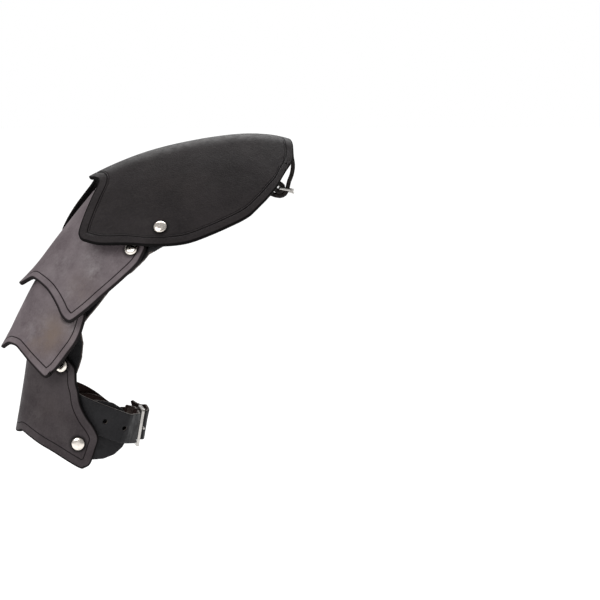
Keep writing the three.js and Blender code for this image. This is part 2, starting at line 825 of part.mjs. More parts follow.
// A place round the heel bar of the neck buckle: 0 degrees is towards the tip bar, 90 outside
function byNeckHeel(radius, degrees) {
  const angle = THREE.MathUtils.degToRad(degrees);
  return neckHeel.clone()
    .addScaledVector(neckToTip, radius * Math.cos(angle))
    .addScaledVector(neckOut, radius * Math.sin(angle));
}

// A place of the neck strap under the ridge, at a distance from the neck end
function underRidge(fromEnd, deeper, hand) {
  const place = shoulder.at(shoulderPlate.length - fromEnd, 0, neckSeat + deeper);
  return { point: place.point, wide: new THREE.Vector3(0, hand, 0), curl: -neckStrap.curl * hand };
}

function neckTongue() {
  const wide = neckWide.clone().negate();
  const around = neckFold + 2 * fitGap + neckStrap.leather;
  const hanging = [
    { ahead: 0.025, below: 0.035, curl: 1 },
    { ahead: 0.048, below: 0.12, curl: 0.5 },
    { ahead: 0.06, below: 0.27 },
    { ahead: 0.08, below: 0.38 },
    { ahead: 0.08, below: 0.48 },
    { ahead: 0.053, below: 0.62 },
    { ahead: 0.006, below: 0.74 },
  ].map((row) => {
    const point = byNeck(row.ahead * neckStrap.drop, row.below * neckStrap.drop);
    return { point, wide, curl: (row.curl ?? 0) * neckStrap.curl };
  });
  const stations = [
    underRidge(neckStrap.postFromEnd + neckStrap.tailBack, 0, -1),
    underRidge(neckStrap.postFromEnd, 0, -1),
    underRidge(neckStrap.postFromEnd / 2, 0, -1),
    underRidge(0.1 * neckStrap.drop, fitGap, -1),
    ...hanging,
    { point: byNeckHeel(around, -5), wide },
    { point: byNeckHeel(around, 30), wide },
    { point: byNeckHeel(around, 65), wide },
    { point: byNeckHeel(around, 100), wide },
    { point: byNeckHeel(around * 1.35, 140), wide },
  ];
  return makeStrap(stations, neckStrap.width, neckStrap.leather, { start: 'square', end: 'round' }, 30);
}

function neckHolder() {
  const wide = neckWide;
  const second = 2 * neckStrap.leather + 2 * fitGap;
  const turns = [100, 55, 10, -35, -80].map((degrees) => ({ point: byNeckHeel(neckFold, degrees), wide }));
  const stations = [
    underRidge(neckStrap.postFromEnd + neckStrap.tailBack, second, 1),
    underRidge(neckStrap.postFromEnd, second, 1),
    underRidge(0.8 * neckStrap.postFromEnd, second + 2 * fitGap, 1),
    { point: byNeck(-0.5 * neckStrap.drop, 0.45 * neckStrap.drop), wide },
    { point: byNeckHeel(neckFold * 1.7, -170), wide },
    ...turns,
    { point: byNeckHeel(neckFold * 1.5, -120), wide },
  ];
  return makeStrap(stations, neckStrap.width, neckStrap.leather, { start: 'square', end: 'square' }, 28);
}

// A post that holds both ends of the neck strap, blind in the plate above
const neckPostTop = 2 * fitGap + neckStrap.postBite;

function neckPostSolid() {
  const layers = 2 * neckStrap.leather + 6 * fitGap;
  const top = neckPostTop;
  const profile = [
    [0, -layers - flatRivetHeight],
    [neckStrap.postFoot, -layers - flatRivetHeight],
    [neckStrap.postFoot, -layers],
    [neckStrap.postRadius, -layers],
    [neckStrap.postRadius, top],
    [0, top],
  ].map(([radius, height]) => new THREE.Vector2(radius, height));
  return standOn(new THREE.LatheGeometry(profile, holeSides), neckPost);
}

// Blind hole for the post in the underside of the ridge
function neckPostSocket() {
  const radius = neckStrap.postRadius + fitGap;
  const socket = new THREE.CylinderGeometry(radius, radius, drillReach, holeSides);
  return standOn(socket.translate(0, neckPostTop + fitGap - drillReach / 2, 0), neckPost);
}

// A flat frame in its own plane: x along the strap, y across it, centred, bars as thick as wide
function frameSolid(buckle, strapWidth) {
  const inside = strapWidth + 2 * buckle.spare;
  const outer = new THREE.Shape();
  const corner = buckle.bar * 0.8;
  const halfX = buckle.length / 2;
  const halfY = inside / 2 + buckle.bar;
  outer.absarc(halfX - corner, -halfY + corner, corner, -Math.PI / 2, 0);
  outer.absarc(halfX - corner, halfY - corner, corner, 0, Math.PI / 2);
  outer.absarc(-halfX + corner, halfY - corner, corner, Math.PI / 2, Math.PI);
  outer.absarc(-halfX + corner, -halfY + corner, corner, Math.PI, 1.5 * Math.PI);
  const hole = new THREE.Path();
  const inX = halfX - buckle.bar;
  hole.moveTo(-inX, -inside / 2);
  hole.lineTo(-inX, inside / 2);
  hole.lineTo(inX, inside / 2);
  hole.lineTo(inX, -inside / 2);
  outer.holes.push(hole);
  const frame = new THREE.ExtrudeGeometry(outer, { depth: buckle.bar, bevelEnabled: false, curveSegments: 4 });
  return frame.translate(0, 0, -buckle.bar / 2);
}

// A prong: a ring round the heel bar and a tapered pin that rests outside the tip bar
function prongSolid(buckle, holeGap) {
  const ringInner = buckle.bar * Math.SQRT1_2 + fitGap;
  const ringOuter = ringInner + buckle.prongRadius;
  const ringWidth = 2 * buckle.prongRadius;
  const ring = new THREE.Shape().absarc(0, 0, ringOuter, 0, 2 * Math.PI);
  ring.holes.push(new THREE.Path().absarc(0, 0, ringInner, 0, 2 * Math.PI, true));
  const loop = new THREE.ExtrudeGeometry(ring, { depth: ringWidth, bevelEnabled: false, curveSegments: 8 });
  loop.translate(0, 0, -ringWidth / 2);
  loop.rotateX(Math.PI / 2);
  const heel = -(buckle.length - buckle.bar) / 2;
  loop.translate(heel, 0, 0);
  const from = new THREE.Vector3(heel + ringInner, 0, buckle.prongRadius * 0.6);
  const to = new THREE.Vector3(
    buckle.length / 2 + buckle.prongRadius * 0.5,
    0,
    buckle.bar / 2 + fitGap + buckle.prongRadius,
  );
  const pin = pinBetween(from, to, buckle.prongRadius * 0.75, buckle.prongRadius);
  const hole = pinBetween(from, to, buckle.prongRadius + holeGap, buckle.prongRadius + holeGap);
  return { solid: toGeometry(toSolid(loop).add(toSolid(pin))), hole };
}

function pinBetween(from, to, endRadius, startRadius) {
  const way = to.clone().sub(from);
  const pin = new THREE.CylinderGeometry(endRadius, startRadius, way.length(), 10);
  const up = new THREE.Vector3(0, 1, 0);
  pin.applyQuaternion(new THREE.Quaternion().setFromUnitVectors(up, way.clone().normalize()));
  const centre = from.clone().add(to).multiplyScalar(0.5);
  return pin.translate(centre.x, centre.y, centre.z);
}

// Slot in a fold for the ring of a prong
function ringSlot(buckle, leather) {
  const wide = 2 * buckle.prongRadius + 2 * fitGap;
  const reach = 2 * (buckle.bar + fitGap + leather + buckle.prongRadius);
  const slot = new THREE.BoxGeometry(reach, wide, 2 * reach);
  return slot.translate(-(buckle.length - buckle.bar) / 2 + reach * 0.12, 0, 0);
}

// Moves a buckle's pieces from their own plane to their place: x is from heel to tip, z is out
function placeBuckle(geometry, centre, along, out) {
  const across = out.clone().cross(along);
  const turn = new THREE.Matrix4().makeBasis(along, across, out).setPosition(centre);
  return geometry.clone().applyMatrix4(turn);
}

// A flat rivet from the outer face of the arm strap through the tab
function flatRivet(place, grip) {
  const under = -(grip + fitGap);
  const profile = [
    [0, under - flatRivetHeight],
    [flatRivetRadius, under - flatRivetHeight],
    [flatRivetRadius, under],
    [shankRadius, under],
    [shankRadius, fitGap],
    [flatRivetRadius, fitGap],
    [flatRivetRadius, fitGap + flatRivetHeight],
    [0, fitGap + flatRivetHeight],
  ].map(([radius, height]) => new THREE.Vector2(radius, height));
  return standOn(new THREE.LatheGeometry(profile, holeSides), place);
}

const group = new THREE.Group();

const leatherBlack = { color: 0x37322f, roughness: 0.55, metalness: 0 };
const leatherGrey = { color: 0x696264, roughness: 0.6, metalness: 0 };
const leatherStrap = { color: 0x28282a, roughness: 0.6, metalness: 0 };
const nickel = { color: 0xe6ded7, roughness: 0.25, metalness: 1 };

function addPiece(name, geometry, look) {
  const mesh = new THREE.Mesh(geometry, new THREE.MeshStandardMaterial(look));
  mesh.name = name;
  group.add(mesh);
}

addPiece(
  'shoulder_plate',
  cutHoles(plateSolid(shoulder, braceColumns, leafRows, [places.shoulder]), [neckPostSocket()]),
  leatherBlack,
);
addPiece('upper_lame', plateSolid(upper, braceColumns, lameRows, [places.upper]), leatherGrey);
addPiece('middle_lame', plateSolid(middle, braceColumns, lameRows, [places.middle]), leatherGrey);
addPiece(
  'arm_plate',
  plateSolid(arm, braceColumns, armRows, [places.armUpper, places.armLower]),
  leatherBlack,
);

const linkGrip = plateLeather + 3 * fitGap + strapLeather;
for (const [name, place] of Object.entries({
  rivet_shoulder: places.shoulder,
  rivet_upper_lame: places.upper,
  rivet_middle_lame: places.middle,
  rivet_arm_upper: places.armUpper,
  rivet_arm_lower: places.armLower,
})) {
  addPiece(`${name}_front`, rivetSolid(place, linkGrip), nickel);
  addPiece(`${name}_back`, rivetSolid(mirrored(place), linkGrip), nickel);
}

const link = linkStrap();
addPiece('articulation_strap_front', link, leatherStrap);
addPiece('articulation_strap_back', mirrorBack(link), leatherStrap);

addPiece('strap_tab_front', tabSolid(0), leatherStrap);
addPiece('strap_tab_back', mirrorBack(tabSolid(armStrap.backSag)), leatherStrap);
const tieGrip = 2 * strapLeather + 3 * fitGap;
addPiece('tab_rivet_front', flatRivet(tiePlace, tieGrip), nickel);
addPiece('tab_rivet_back', flatRivet(mirrored(tiePlace), tieGrip), nickel);

// Arm strap and buckle
const onArmLoop = (shape) => placeBuckle(shape, buckleCentre, new THREE.Vector3(0, -1, 0), buckleOut);
const armProng = prongSolid(armBuckle, 2 * fitGap);
const tongue = armTongue();
const punched = [0, 1].map((i) => {
  return drill(tongue.placeAt(armStrap.firstHole + i * armStrap.holePitch), armStrap.holeRadius);
});
addPiece(
  'arm_strap_tongue',
  cutHoles(tongue.geometry, [...punched, rivetHole(tiePlace), onArmLoop(armProng.hole)]),
  leatherStrap,
);
addPiece(
  'arm_strap_holder',
  cutHoles(armHolder().geometry, [
    rivetHole(mirrored(tiePlace)),
    onArmLoop(ringSlot(armBuckle, strapLeather)),
  ]),
  leatherStrap,
);
addPiece('arm_buckle_frame', onArmLoop(frameSolid(armBuckle, armStrap.width)), nickel);
addPiece('arm_buckle_prong', onArmLoop(armProng.solid), nickel);

// Neck strap and buckle
const neckMiddle = neckHeel.clone().addScaledVector(neckToTip, (neckBuckle.length - neckBuckle.bar) / 2);
const onNeckLoop = (shape) => placeBuckle(shape, neckMiddle, neckToTip, neckOut);
const neckProng = prongSolid(neckBuckle, 2 * fitGap);
const postHole = drill(neckPost, neckStrap.postRadius + fitGap);
addPiece(
  'neck_strap_tongue',
  cutHoles(neckTongue().geometry, [postHole, onNeckLoop(neckProng.hole)]),
  leatherStrap,
);
addPiece(
  'neck_strap_holder',
  cutHoles(neckHolder().geometry, [postHole, onNeckLoop(ringSlot(neckBuckle, neckStrap.leather))]),
  leatherStrap,
);
addPiece('neck_strap_post', neckPostSolid(), nickel);
addPiece('neck_buckle_frame', onNeckLoop(frameSolid(neckBuckle, neckStrap.width)), nickel);
addPiece('neck_buckle_prong', onNeckLoop(neckProng.solid), nickel);

export default group;
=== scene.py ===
import math
import bmesh
import bpy
import numpy as np
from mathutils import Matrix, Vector
from mathutils.bvhtree import BVHTree


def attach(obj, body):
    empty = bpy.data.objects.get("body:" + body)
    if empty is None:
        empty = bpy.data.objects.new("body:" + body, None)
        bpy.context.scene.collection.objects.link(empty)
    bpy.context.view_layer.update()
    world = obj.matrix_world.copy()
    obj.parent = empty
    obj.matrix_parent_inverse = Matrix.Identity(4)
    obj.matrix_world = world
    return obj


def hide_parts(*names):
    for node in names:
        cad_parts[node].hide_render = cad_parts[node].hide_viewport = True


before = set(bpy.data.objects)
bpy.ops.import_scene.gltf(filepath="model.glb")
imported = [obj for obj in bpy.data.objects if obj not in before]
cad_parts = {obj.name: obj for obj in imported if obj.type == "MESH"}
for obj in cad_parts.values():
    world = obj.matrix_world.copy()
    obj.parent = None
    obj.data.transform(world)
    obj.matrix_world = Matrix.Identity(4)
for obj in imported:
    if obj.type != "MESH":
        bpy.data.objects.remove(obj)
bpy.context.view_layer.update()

mm = 0.001

# Leather of the plates, in mm: thickness, how round its edges are, and slow waves in its surface.
# The waves die out within calmEdge of the edge, and each face takes its own share of them.
leather = {
    "thickness": 3.5,
    "edgeRound": 0.95,
    "waveHeight": 0.3,
    "waveScale": 30.0,
    "waveCount": 7,
    "calmEdge": 6,
    "outerWave": 0.5,
    "innerWave": 0.1,
}

# Plates: sizes along the ridge and across it, in mm and degrees; outlines as shares of them.
# lines are tooled: distance from the edge, half width and depth. Scuffs are rubbed spots and painted
# highlights,
# and tints are brownish spots: along the ridge, across it, radius and strength.
shoulderPlate = {
    "length": 196, "halfWidth": 126, "ridgeRound": 22, "ridgeTurn": 40, "wingTurn": 11,
    "heading": 28, "seatAlong": 98, "side": 1,
    "ridge": [(0.08, -3), (0.36, -13), (0.23, -5), (0.2, -11), (0.13, -16)],
    "start": [(0, -0.005), (0.08, -0.003), (0.16, 0.012), (0.24, 0.021), (0.31, 0.009), (0.44, -0.042),
              (0.54, -0.08), (0.68, -0.13), (0.79, -0.166), (0.87, -0.187), (0.95, -0.193), (1, -0.186)],
    "backStart": [(0, -0.005), (0.08, -0.003), (0.16, 0.012), (0.24, 0.018), (0.31, 0), (0.44, -0.06),
                  (0.54, -0.107), (0.68, -0.163), (0.79, -0.2), (0.87, -0.222), (0.95, -0.228), (1, -0.221)],
    "end": [(0, 0.988), (0.33, 0.998), (0.66, 1.005), (0.85, 0.998), (1, 0.98)],
    "sideEdge": [(0, 0.58), (0.04, 0.67), (0.11, 0.76), (0.2, 0.87), (0.3, 0.95), (0.4, 0.99),
                 (0.5, 0.985), (0.61, 0.95), (0.73, 0.882), (0.84, 0.757), (0.9, 0.657), (0.95, 0.56),
                 (0.98, 0.475), (1, 0.41)],
    "lines": [(8.4, 0.42, 0.55), (10.3, 0.32, 0.32)],
    "scuffsAndSheen": [(118, 12, 22, 0.35), (62, 16, 18, 0.3), (150, 30, 16, 0.3), (24, 88, 12, 0.35),
               (95, -52, 20, 0.4), (40, -80, 15, 0.4)],
    "tints": [(70, 60, 26, 0.5), (120, -40, 30, 0.5)],
}
upperLame = {
    "length": 117, "halfWidth": 99, "ridgeRound": 24, "ridgeTurn": 38, "wingTurn": 19,
    "heading": -131, "startAlong": 4.8, "startDepth": 10.8, "side": -1,
    "ridge": [(0.7, 4), (0.3, -11)],
    "start": [(0, 0), (0.5, 0.03), (0.8, 0.09), (0.94, 0.135), (1, 0.17)],
    "end": [(0, 1), (0.07, 0.99), (0.11, 0.957), (0.17, 0.905), (0.26, 0.89), (0.45, 0.885), (0.57, 0.895),
            (0.72, 0.918), (0.85, 0.943), (0.93, 0.945), (0.98, 0.933), (1, 0.905)],
    "sideEdge": [(0, 0.965), (0.1, 0.987), (0.2, 1), (0.42, 0.972), (0.64, 0.93), (0.84, 0.886), (1, 0.85)],
    "lines": [(7.0, 0.46, 0.7)],
    # spots: rubbed leather together with painted highlights of the sheen
    "scuffsAndSheen": [(66, 66, 8, 1.0), (58, 56, 13, 0.55), (80, 33, 12, 0.5), (46, 38, 15, 0.4), (92, 60, 7, 0.5),
               (70, -52, 14, 0.7), (90, -30, 10, 0.5)],
    "tints": [(84, 68, 12, 0.5), (50, -40, 18, 0.6)],
}
middleLame = {
    "length": 83, "halfWidth": 80, "ridgeRound": 22, "ridgeTurn": 40, "wingTurn": 20,
    "heading": -120, "startAlong": 91.7, "startDepth": 5.8, "side": -1,
    "ridge": [(0.72, 4), (0.28, -6)],
    "start": [(0, 0), (0.5, 0.04), (0.8, 0.13), (0.94, 0.19), (1, 0.235)],
    "end": [(0, 1), (0.06, 0.988), (0.12, 0.95), (0.18, 0.917), (0.26, 0.9), (0.34, 0.894), (0.42, 0.908),
            (0.6, 0.946), (0.75, 0.973), (0.88, 0.994), (0.945, 1), (0.98, 0.985), (1, 0.946)],
    "sideEdge": [(0, 0.96), (0.17, 0.985), (0.3, 1), (0.47, 0.998), (0.68, 0.968), (0.83, 0.942),
                 (0.92, 0.925), (1, 0.895)],
    "lines": [(7.0, 0.46, 0.7)],
    # spots: rubbed leather together with painted highlights of the sheen
    "scuffsAndSheen": [(34, 69, 6, 1.0), (56, 31, 10, 0.45), (44, 38, 12, 0.4), (45, -42, 12, 0.6), (60, -64, 7, 0.6)],
    "tints": [(50, 54, 17, 1.0), (62, 40, 12, 0.5), (40, -50, 14, 0.7)],
}
armPlate = {
    "length": 81, "halfWidth": 95, "ridgeRound": 22, "ridgeTurn": 40, "wingTurn": 42,
    "heading": -98, "startAlong": 68.6, "startDepth": 20.8, "side": -1,
    "ridge": [(1, -3)],
    "start": [(0, 0), (0.6, 0.02), (0.88, 0.05), (1, 0.11)],
    "end": [(0, 1.005), (0.06, 1.004), (0.12, 0.993), (0.19, 0.972), (0.31, 1.006), (0.45, 1.052),
            (0.635, 1.104), (0.81, 1.168), (0.92, 1.208), (0.975, 1.217), (1, 1.2)],
    "sideEdge": [(0, 0.64), (0.04, 0.675), (0.18, 0.703), (0.25, 0.733), (0.38, 0.776), (0.49, 0.85),
                 (0.58, 0.937), (0.68, 0.998), (0.8, 0.99), (0.91, 0.975), (0.97, 0.955), (1, 0.92)],
    "lines": [(8.0, 0.42, 0.55)],
    # spots: rubbed leather together with a painted band of sheen
    "scuffsAndSheen": [(34, 25, 12, 0.5), (62, 30, 10, 0.5), (72, 62, 12, 0.35), (50, -40, 14, 0.6)],
    "tints": [(52, 46, 16, 0.4), (30, -30, 14, 0.5)],
}

# Grid of a plate: bands in mm from the edge, more beside each tooled line in half widths of the line,
# and even steps inside. slides is how often the bands are moved to their true distance from the edge.
plateGrid = {
    "edgeBands": [0, 0.1, 0.28, 0.52, 0.95, 1.5, 2.4, 3.8, 5.2],
    "lineBands": [-2.4, -1.5, -0.9, -0.4, 0, 0.4, 0.9, 1.5, 2.4],
    "innerBands": [12.6, 15.0],
    "across": 84,
    "along": 46,
    "slides": 5,
    "slideLimits": (0.6, 1.7),
    "outlineDown": 160,
    "outlineAcross": 240,
}


# Smooth curve through the rows of a table
def readTable(rows, at):
    keys = np.array([row[0] for row in rows], float)
    values = np.array([row[1] for row in rows], float)
    slopes = np.empty(len(rows))
    slopes[0] = (values[1] - values[0]) / (keys[1] - keys[0])
    slopes[-1] = (values[-1] - values[-2]) / (keys[-1] - keys[-2])
    slopes[1:-1] = (values[2:] - values[:-2]) / (keys[2:] - keys[:-2])
    i = np.clip(np.searchsorted(keys, at, side="left") - 1, 0, len(rows) - 2)
    span = keys[i + 1] - keys[i]
    t = np.clip((at - keys[i]) / span, 0, 1)
    return ((2 * t**3 - 3 * t**2 + 1) * values[i] + (t**3 - 2 * t**2 + t) * span * slopes[i]
            + (3 * t**2 - 2 * t**3) * values[i + 1] + (t**3 - t**2) * span * slopes[i + 1])


# Where a distance leads along arcs, each with its run in mm and its turn in degrees
def followArcs(arcs, distance):
    rest = np.array(distance, float)
    x, y, heading = np.zeros_like(rest), np.zeros_like(rest), np.zeros_like(rest)
    for order, (run, turn) in enumerate(arcs):
        step = np.minimum(rest, run)
        if order:
            step = np.maximum(step, 0)
        bend = np.radians(turn * np.maximum(step, 0) / run)
        chord = step * np.sinc(bend / 2 / np.pi)
        x += chord * np.cos(heading + bend / 2)
        y += chord * np.sin(heading + bend / 2)
        heading += bend
        rest = rest - step
    return x + rest * np.cos(heading), y + rest * np.sin(heading), heading


# A leather plate bent over its ridge, hung at an origin in the XZ plane. Places on it are mm along
# the ridge and across it, and shares of its pattern run from -1 to 1 across and from 0 to 1 down.
class BentPlate:
    def __init__(self, sizes, origin):
        self.sizes = sizes
        self.origin = origin
        self.ridge = [(run * sizes["length"], turn) for run, turn in sizes["ridge"]]
        self.section = [(sizes["ridgeRound"], sizes["ridgeTurn"]),
                        (sizes["halfWidth"] - sizes["ridgeRound"], sizes["wingTurn"])]

    # Point in space and outward direction of a place, at a depth under the outer face
    def at(self, along, across, depth=0.0):
        along, across = np.broadcast_arrays(np.asarray(along, float), np.asarray(across, float))
        start = math.radians(self.sizes["heading"])
        spineX, spineY, spineTurn = followArcs(self.ridge, along)
        wallX, wallY, wallTurn = followArcs(self.section, np.abs(across))
        hand = np.where(across < 0, -1.0, 1.0)
        heading = start + spineTurn
        side = self.sizes["side"]
        out = np.stack([-np.sin(heading) * side, np.zeros_like(heading), np.cos(heading) * side], -1)
        normal = out * np.cos(wallTurn)[..., None]
        normal[..., 1] = -hand * np.sin(wallTurn)
        point = np.stack([
            self.origin[0] + spineX * math.cos(start) - spineY * math.sin(start),
            -hand * wallX,
            self.origin[1] + spineX * math.sin(start) + spineY * math.cos(start),
        ], -1)
        point = point - out * wallY[..., None] - normal * np.asarray(depth, float)[..., None]
        return point, normal

    # Half width of the plate at a share of the way down
    def width(self, down):
        return readTable(self.sizes["sideEdge"], down) * self.sizes["halfWidth"]

    # Where the plate starts and ends along its ridge, at a share across
    def reach(self, across):
        far = np.abs(across)
        front = readTable(self.sizes["start"], far)
        back = readTable(self.sizes.get("backStart", self.sizes["start"]), far)
        low = np.where(across > 0, front, back) * self.sizes["length"]
        high = readTable(self.sizes["end"], far) * self.sizes["length"]
        return low, high

    # Shares across and down, turned into mm along and across
    def pattern(self, across, down):
        low, high = self.reach(across)
        return low + (high - low) * down, across * self.width(down)

    # Place in from the side edge; hand is 1 for the front and -1 for the back
    def atSide(self, down, inset, hand=1):
        along, across = self.pattern(np.array(1.0), np.array(down))
        return self.at(along, hand * (across - inset))


# Where a plate hangs under the one above it
def hangIn(above, sizes):
    point, normal = above.at(sizes["startAlong"], 0.0, sizes["startDepth"])
    return point[0], point[2]


unplaced = BentPlate(shoulderPlate, (0, 0))
seat = unplaced.at(shoulderPlate["seatAlong"], 0.0, leather["thickness"])[0]
shoulder = BentPlate(shoulderPlate, (-seat[0], -seat[2]))
upper = BentPlate(upperLame, hangIn(shoulder, upperLame))
middle = BentPlate(middleLame, hangIn(upper, middleLame))
arm = BentPlate(armPlate, hangIn(middle, armPlate))

# Rivets: plate, share of the way down its side, and inset from its edge in mm
rivetPlaces = [
    (shoulder, 0.312, 20.6), (upper, 0.11, 12.8), (middle, 0.11, 17), (arm, 0.035, 13.6), (arm, 0.77, 16.8),
]
rivetSpots = [(plate, plate.atSide(down, inset, hand))
              for plate, down, inset in rivetPlaces for hand in (1, -1)]
rivetDent = {"flat": 6.2, "slope": 3.4, "depth": 0.45}  # the leather pressed in round each cap


# The four sides of a plate's outline, in mm along the ridge and across it
def outlineSides(plate):
    down = np.linspace(0, 1, plateGrid["outlineDown"])
    sweep = np.linspace(-1, 1, plateGrid["outlineAcross"])
    sides = {"front": (1, down), "back": (-1, down), "start": (sweep, 0), "end": (sweep, 1)}
    lines = {}
    for name, (across, along) in sides.items():
        lines[name] = np.stack(plate.pattern(*np.broadcast_arrays(np.float64(across), np.float64(along))), -1)
    return lines


# Distance of pattern points from a line of points, in mm
def lineGap(line, along, across):
    spots = np.stack([along.ravel(), across.ravel()], -1)
    best = np.full(len(spots), 1e9)
    for start, end in zip(line, line[1:]):
        way = end - start
        share = np.clip(((spots - start) @ way) / max(way @ way, 1e-9), 0, 1)
        best = np.minimum(best, ((spots - start - share[:, None] * way) ** 2).sum(-1))
    return np.sqrt(best).reshape(along.shape)


# Sum of slow waves that run in every direction, from -1 to 1
def waves(point, scale, seed):
    generator = np.random.default_rng(seed)
    total = np.zeros(point.shape[:-1])
    for _ in range(leather["waveCount"]):
        way = generator.normal(size=3)
        way /= np.linalg.norm(way)
        length = scale * generator.uniform(0.6, 1.5)
        total += np.sin(point @ way * 2 * math.pi / length + generator.random() * 6.28)
    return total / leather["waveCount"]


def addPiece(name, verts, faces, smooth=True):
    mesh = bpy.data.meshes.new(name)
    mesh.from_pydata([tuple(v) for v in verts], [], faces)
    mesh.update()
    if smooth:
        mesh.shade_smooth()
    piece = bpy.data.objects.new(name, mesh)
    bpy.context.scene.collection.objects.link(piece)
    return piece


def setFloat(mesh, name, values):
    layer = mesh.attributes.new(name, "FLOAT", "POINT")
    layer.data.foreach_set("value", np.asarray(values, np.float32))


# How strongly soft round spots cover each point of a pattern
def spotShare(spots, along, across):
    share = np.zeros_like(along)
    for spotAlong, spotAcross, radius, strength in spots:
        far = np.hypot(along - spotAlong, across - spotAcross) / radius
        share = np.maximum(share, strength * np.exp(-far**2))
    return share


def plateBands(plate):
    beside = [offset + step * width for offset, width, depth in plate.sizes["lines"]
              for step in plateGrid["lineBands"]]
    return np.array(sorted(plateGrid["edgeBands"] + beside + plateGrid["innerBands"]), float)


# Shares across and down a plate for every point of its grid, with the bands along the edges
def gridShares(plate, bands, evenAcross, evenDown):
    inner = bands[-1]

    def columnShares(down):
        width = plate.width(down)[:, None]
        edge = 1 - bands[None, :] / width
        centre = evenAcross[None, :] * (1 - inner / width)
        return np.concatenate([-edge, centre, edge[:, ::-1]], 1)

    def rowShares(across):
        low, high = plate.reach(across)
        length = (high - low)[None, :]
        edge = bands[:, None] / length
        gap = inner / length
        centre = gap + evenDown[:, None] * (1 - 2 * gap)
        return np.concatenate([edge, centre, 1 - edge[::-1]], 0)

    columns = columnShares(rowShares(np.array([0.0]))[:, 0])
    rows = rowShares(columnShares(np.array([0.5]))[0])
    return columns, rows


# A band's shares, moved towards the distance wanted from a side of the outline
def slide(share, line, along, across, wanted):
    reached = np.maximum(lineGap(line, along, across), 1e-6)
    return share * np.clip(wanted / reached, *plateGrid["slideLimits"])


def spread(first, last, shares):
    return first + (last - first) * shares


# Grid of a plate in mm along and across it, with each point's distance from the outline.
# The bands are slid until each runs at its own distance from its side.
def layGrid(plate):
    bands = plateBands(plate)
    count = len(bands)
    evenAcross = np.linspace(-1, 1, plateGrid["across"])[1:-1]
    evenDown = np.linspace(0, 1, plateGrid["along"])[1:-1]
    columns, rows = gridShares(plate, bands, evenAcross, evenDown)
    sides = outlineSides(plate)
    left, right, top, bottom = np.s_[:, :count], np.s_[:, -count:], np.s_[:count], np.s_[-count:]
    for _ in range(plateGrid["slides"]):
        along, across = plate.pattern(columns, rows)
        columns[left] = slide(1 + columns[left], sides["back"], along[left], across[left], bands[None, :]) - 1
        columns[right] = 1 - slide(1 - columns[right], sides["front"], along[right], across[right],
                                   bands[None, ::-1])
        columns[:, count:-count] = spread(columns[:, [count - 1]], columns[:, [-count]], (evenAcross + 1) / 2)
        rows[top] = slide(rows[top], sides["start"], along[top], across[top], bands[:, None])
        rows[bottom] = 1 - slide(1 - rows[bottom], sides["end"], along[bottom], across[bottom],
                                 bands[::-1, None])
        rows[count:-count] = spread(rows[[count - 1]], rows[[-count]], evenDown[:, None])
    along, across = plate.pattern(columns, rows)
    gap = np.min([lineGap(line, along, across) for line in sides.values()], axis=0)
    return along, across, gap


# Faces of two grids of points, the second under the first, joined round their edge
def sheetFaces(down, wide):
    count = down * wide
    grid = np.arange(count).reshape(down, wide)
    outer = np.stack([grid[:-1, :-1], grid[:-1, 1:], grid[1:, 1:], grid[1:, :-1]], -1).reshape(-1, 4)
    loop = np.concatenate([grid[0, :-1], grid[:-1, -1], grid[-1, :0:-1], grid[:0:-1, 0]])
    ahead = np.roll(loop, -1)
    wall = np.stack([ahead, loop, loop + count, ahead + count], -1)
    return np.concatenate([outer, outer[:, ::-1] + count, wall]).tolist()


def faceOutward(mesh, mergeWithin=0.0):
    bm = bmesh.new()
    bm.from_mesh(mesh)
    if mergeWithin:
        bmesh.ops.remove_doubles(bm, verts=bm.verts, dist=mergeWithin)
    bmesh.ops.recalc_face_normals(bm, faces=bm.faces)
    bm.to_mesh(mesh)
    bm.free()


# A plate with round edges, tooled lines, dents round its rivets and slow waves
def makePlate(name, plate, material, seed):
    along, across, gap = layGrid(plate)
    surface, normal = plate.at(along, across)
    edge = leather["edgeRound"]
    short = np.clip(edge - gap, 0, edge)
    rounding = edge - np.sqrt(np.maximum(edge**2 - short**2, 0))
    groove = np.zeros_like(gap)
    for offset, width, depth in plate.sizes["lines"]:
        groove += depth * np.exp(-((gap - offset) / width) ** 2)
    centres = [place[0] for owner, place in rivetSpots if owner is plate]
    rivetGap = np.min([np.linalg.norm(surface - centre, axis=-1) for centre in centres], axis=0)
    press = 1 - np.clip((rivetGap - rivetDent["flat"]) / rivetDent["slope"], 0, 1)
    dent = rivetDent["depth"] * press * press * (3 - 2 * press)
    wave = leather["waveHeight"] * waves(surface, leather["waveScale"], seed)
    wave = wave * np.clip(gap / leather["calmEdge"], 0, 1)
    outer = surface - normal * (rounding + groove + dent - leather["outerWave"] * wave)[..., None]
    inner = surface - normal * (leather["thickness"] - rounding - leather["innerWave"] * wave)[..., None]
    verts = np.concatenate([outer.reshape(-1, 3), inner.reshape(-1, 3)]) * mm
    piece = addPiece(name, verts, sheetFaces(*gap.shape))
    faceOutward(piece.data)

    both = lambda values: np.concatenate([values.ravel(), values.ravel()])
    blank = np.zeros(gap.size)
    deepest = max(depth for offset, width, depth in plate.sizes["lines"])
    setFloat(piece.data, "edgeGap", both(gap))
    setFloat(piece.data, "tooled", np.concatenate([np.clip(groove / deepest, 0, 1).ravel(), blank]))
    setFloat(piece.data, "rivetGap", both(rivetGap))
    setFloat(piece.data, "wornAndSheen", both(spotShare(plate.sizes["scuffsAndSheen"], along, across)))
    setFloat(piece.data, "warm", both(spotShare(plate.sizes["tints"], along, across)))
    setFloat(piece.data, "flesh", np.concatenate([blank, blank + 1]))
    flatPlace = np.stack([both(along), both(across), np.zeros(2 * gap.size)], -1) * mm
    layer = piece.data.attributes.new("flatPlace", "FLOAT_VECTOR", "POINT")
    layer.data.foreach_set("vector", flatPlace.astype(np.float32).ravel())
    piece.data.materials.append(material)
    return piece


def newMaterial(name):
    material = bpy.data.materials.new(name)
    material.use_nodes = True
    nodes = material.node_tree.nodes
    shader = nodes["Principled BSDF"]
    return material, nodes, material.node_tree.links, shader


